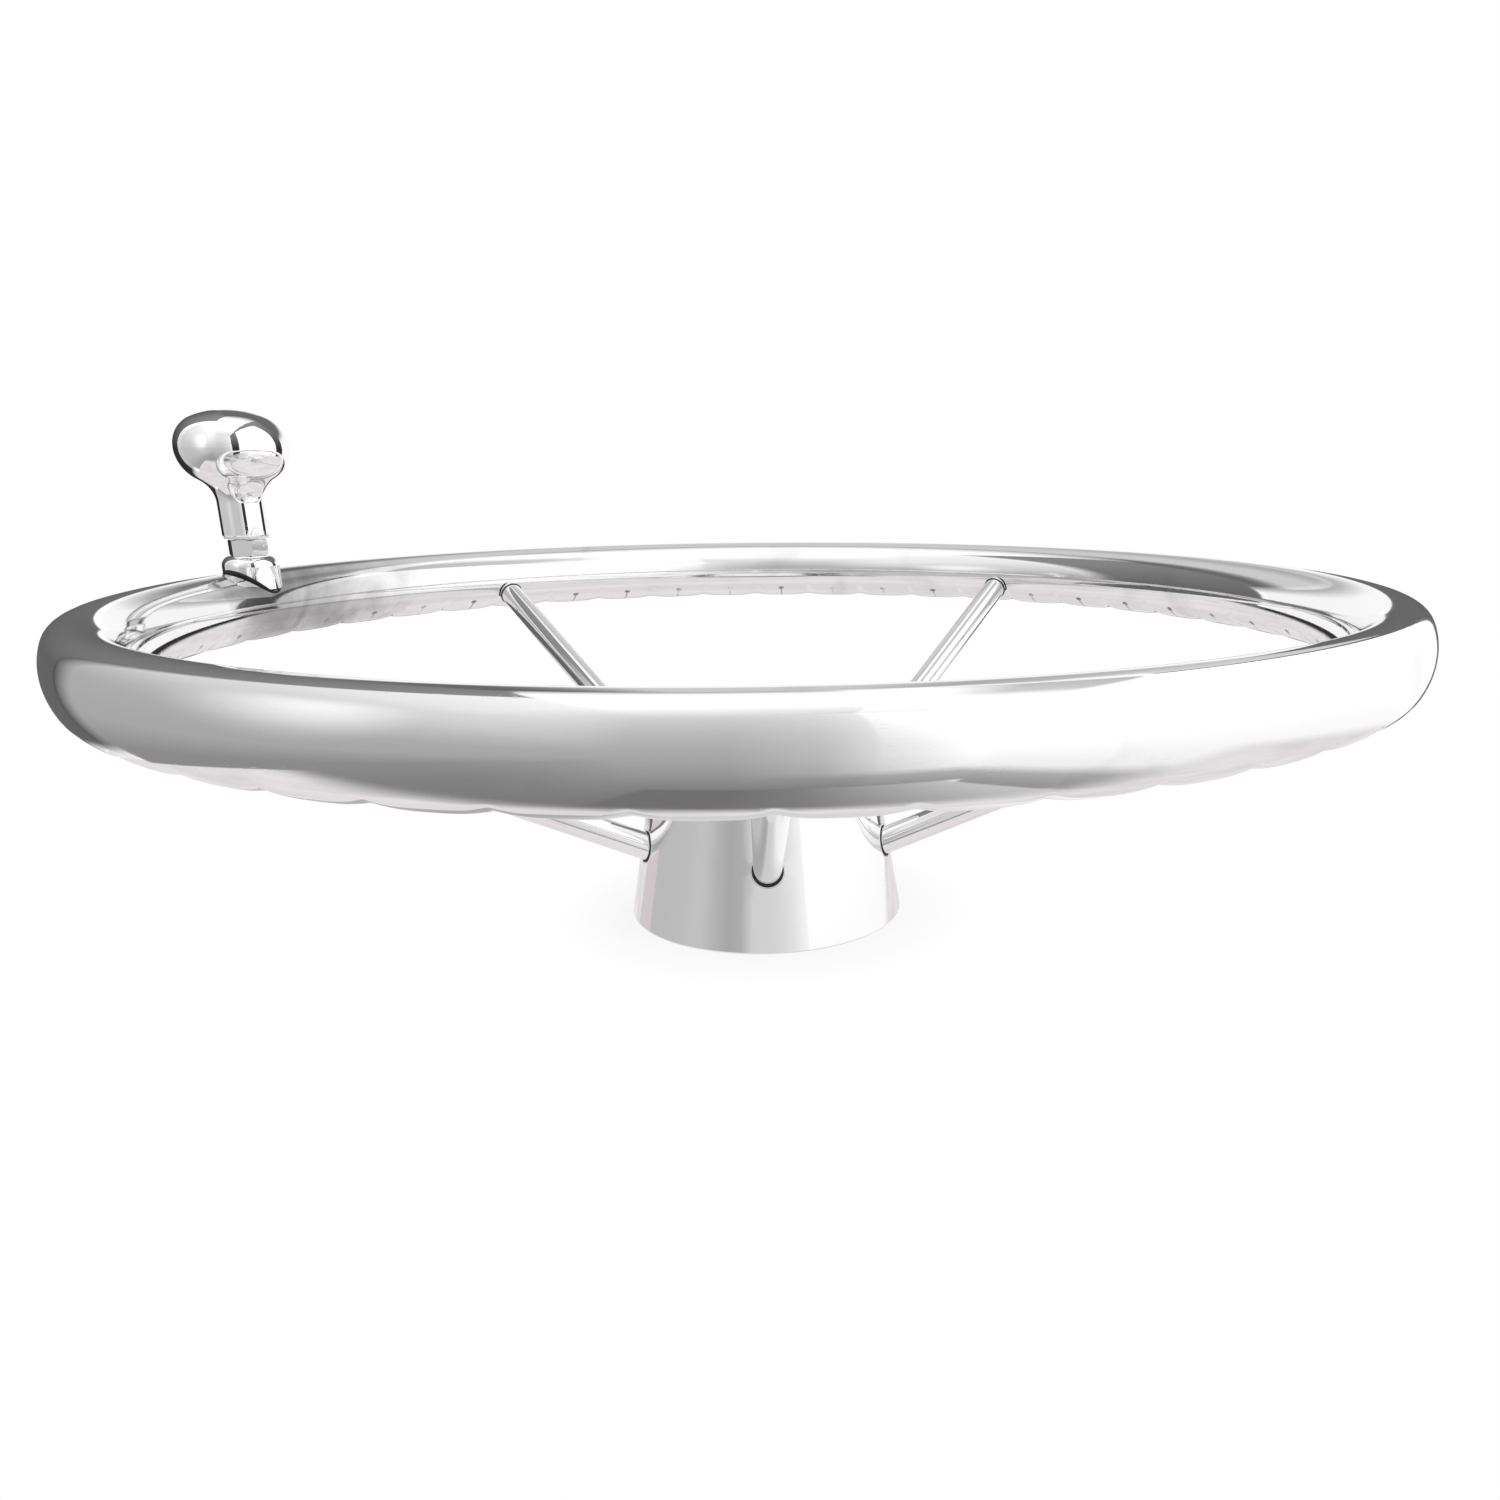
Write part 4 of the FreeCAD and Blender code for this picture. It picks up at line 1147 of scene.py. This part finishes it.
    def build_cloth(self) -> None:
        """The table as the steel reflects it: a pale cloth with soft edges, a little below the hub."""
        material, graph = new_material("mirrored_cloth")
        place = graph.place()
        across, along, _ = graph.split(place)
        left, right, front, back = self.cloth_size
        fade = self.cloth_fade
        inside = across.rise(left, left + fade) * across.rise(right, right - fade)
        inside = inside * along.rise(front, front + fade) * along.rise(back, back - fade)
        folds = graph.noise(place, self.fold_scale, 3.0).rise(*self.fold_edge)
        paler = tuple(channel * self.fold_light for channel in self.cloth_colour)
        shine = graph.glow(graph.mix(folds, self.cloth_colour, paler))
        graph.finish(graph.blend_shaders(inside, graph.clear(), shine))
        corners = level_corners(*self.cloth_size, self.cloth_height)
        set_up(plain_mesh("mirrored_table", corners, QUAD), material, *REFLECTED_ONLY)

    def build_strip(self) -> None:
        """A low curved strip behind the near rim, which lights the reflections on the hub's front."""
        turns = np.linspace(*self.strip_turn, self.strip_steps)
        line = [(self.strip_radius * cos(turn), self.strip_radius * sin(turn)) for turn in turns]
        corners = [(x, y, height) for height in (self.strip_bottom, self.strip_top) for x, y in line]
        count = len(line)
        faces = [(k, k + 1, k + 1 + count, k + count) for k in range(count - 1)]
        material, graph = new_material("low_strip")
        stripes = Ramp(Axis.X, (
            (-0.143, 0.54), (-0.136, 0.55), (-0.12, 0.585), (-0.108, 0.58), (-0.09, 0.49), (-0.069, 0.43),
            (-0.048, 0.46), (-0.028, 0.69), (0.0, 0.7), (0.02, 0.74), (0.042, 0.82), (0.066, 1.0),
        ))
        coordinates = graph.split(graph.place())
        grey = graph.grey(stripes.level(graph, coordinates, 1.0))
        far_end = coordinates[Axis.Y.value].rise(*self.strip_far_end)
        graph.finish(graph.glow(graph.mix(far_end, grey, self.strip_far_colour)))
        set_up(plain_mesh("low_strip", corners, faces), material, *REFLECTED_ONLY)

    def build_world(self) -> None:
        """White to the camera, plain soft light on matt surfaces, and a dim room in reflections."""
        world = bpy.data.worlds.new("studio")
        world.use_nodes = True
        bpy.context.scene.world = world
        graph = Graph(world.node_tree)
        direction = graph.add("ShaderNodeTexCoord").outputs["Generated"]
        height = graph.split(direction)[Axis.Z.value] * 0.5 + 0.5
        room = graph.ramp(height, self.room_grey)
        grey = graph.mix(graph.ray_is("Is Glossy Ray"), self.soft_light, room)
        shown = graph.mix(graph.ray_is("Is Camera Ray"), grey, WHITE)
        graph.finish(graph.add("ShaderNodeBackground", {"Color": shown}).outputs[0], "ShaderNodeOutputWorld")

    def build_camera(self) -> None:
        """The camera at the photograph's viewpoint."""
        yaw, pitch, roll = self.camera_yaw, self.camera_pitch, self.camera_roll
        level = Vector((-sin(yaw), cos(yaw), 0.0))
        right = Vector((cos(yaw), sin(yaw), 0.0))
        up = Vector((0.0, 0.0, 1.0))
        forward = level * cos(pitch) - up * sin(pitch)
        above = level * sin(pitch) + up * cos(pitch)
        image_right = right * cos(roll) + above * sin(roll)
        image_up = above * cos(roll) - right * sin(roll)
        lens = bpy.data.cameras.new("camera")
        lens.sensor_width = self.sensor
        lens.lens = self.focal_pixels * self.sensor / self.image_pixels
        middle = self.image_pixels / 2
        lens.shift_x = (middle - self.axis_pixel[0]) / self.image_pixels
        lens.shift_y = (self.axis_pixel[1] - middle) / self.image_pixels
        lens.clip_start = self.clip_start
        camera = bpy.data.objects.new("camera", lens)
        axes = Matrix((image_right, image_up, -forward)).transposed().to_4x4()
        camera.matrix_world = Matrix.Translation(self.camera_place) @ axes
        bpy.context.scene.collection.objects.link(camera)
        bpy.context.scene.camera = camera


def main() -> None:
    """Build the studio and the wheel's pieces in order."""
    logging.basicConfig(level=logging.INFO, format="%(name)s %(message)s")
    Studio().build()
    rim = Rim()
    rim.build()
    Spokes(rim).build()
    Hub().build()
    Knob(rim).build()


if __name__ == "__main__":
    main()
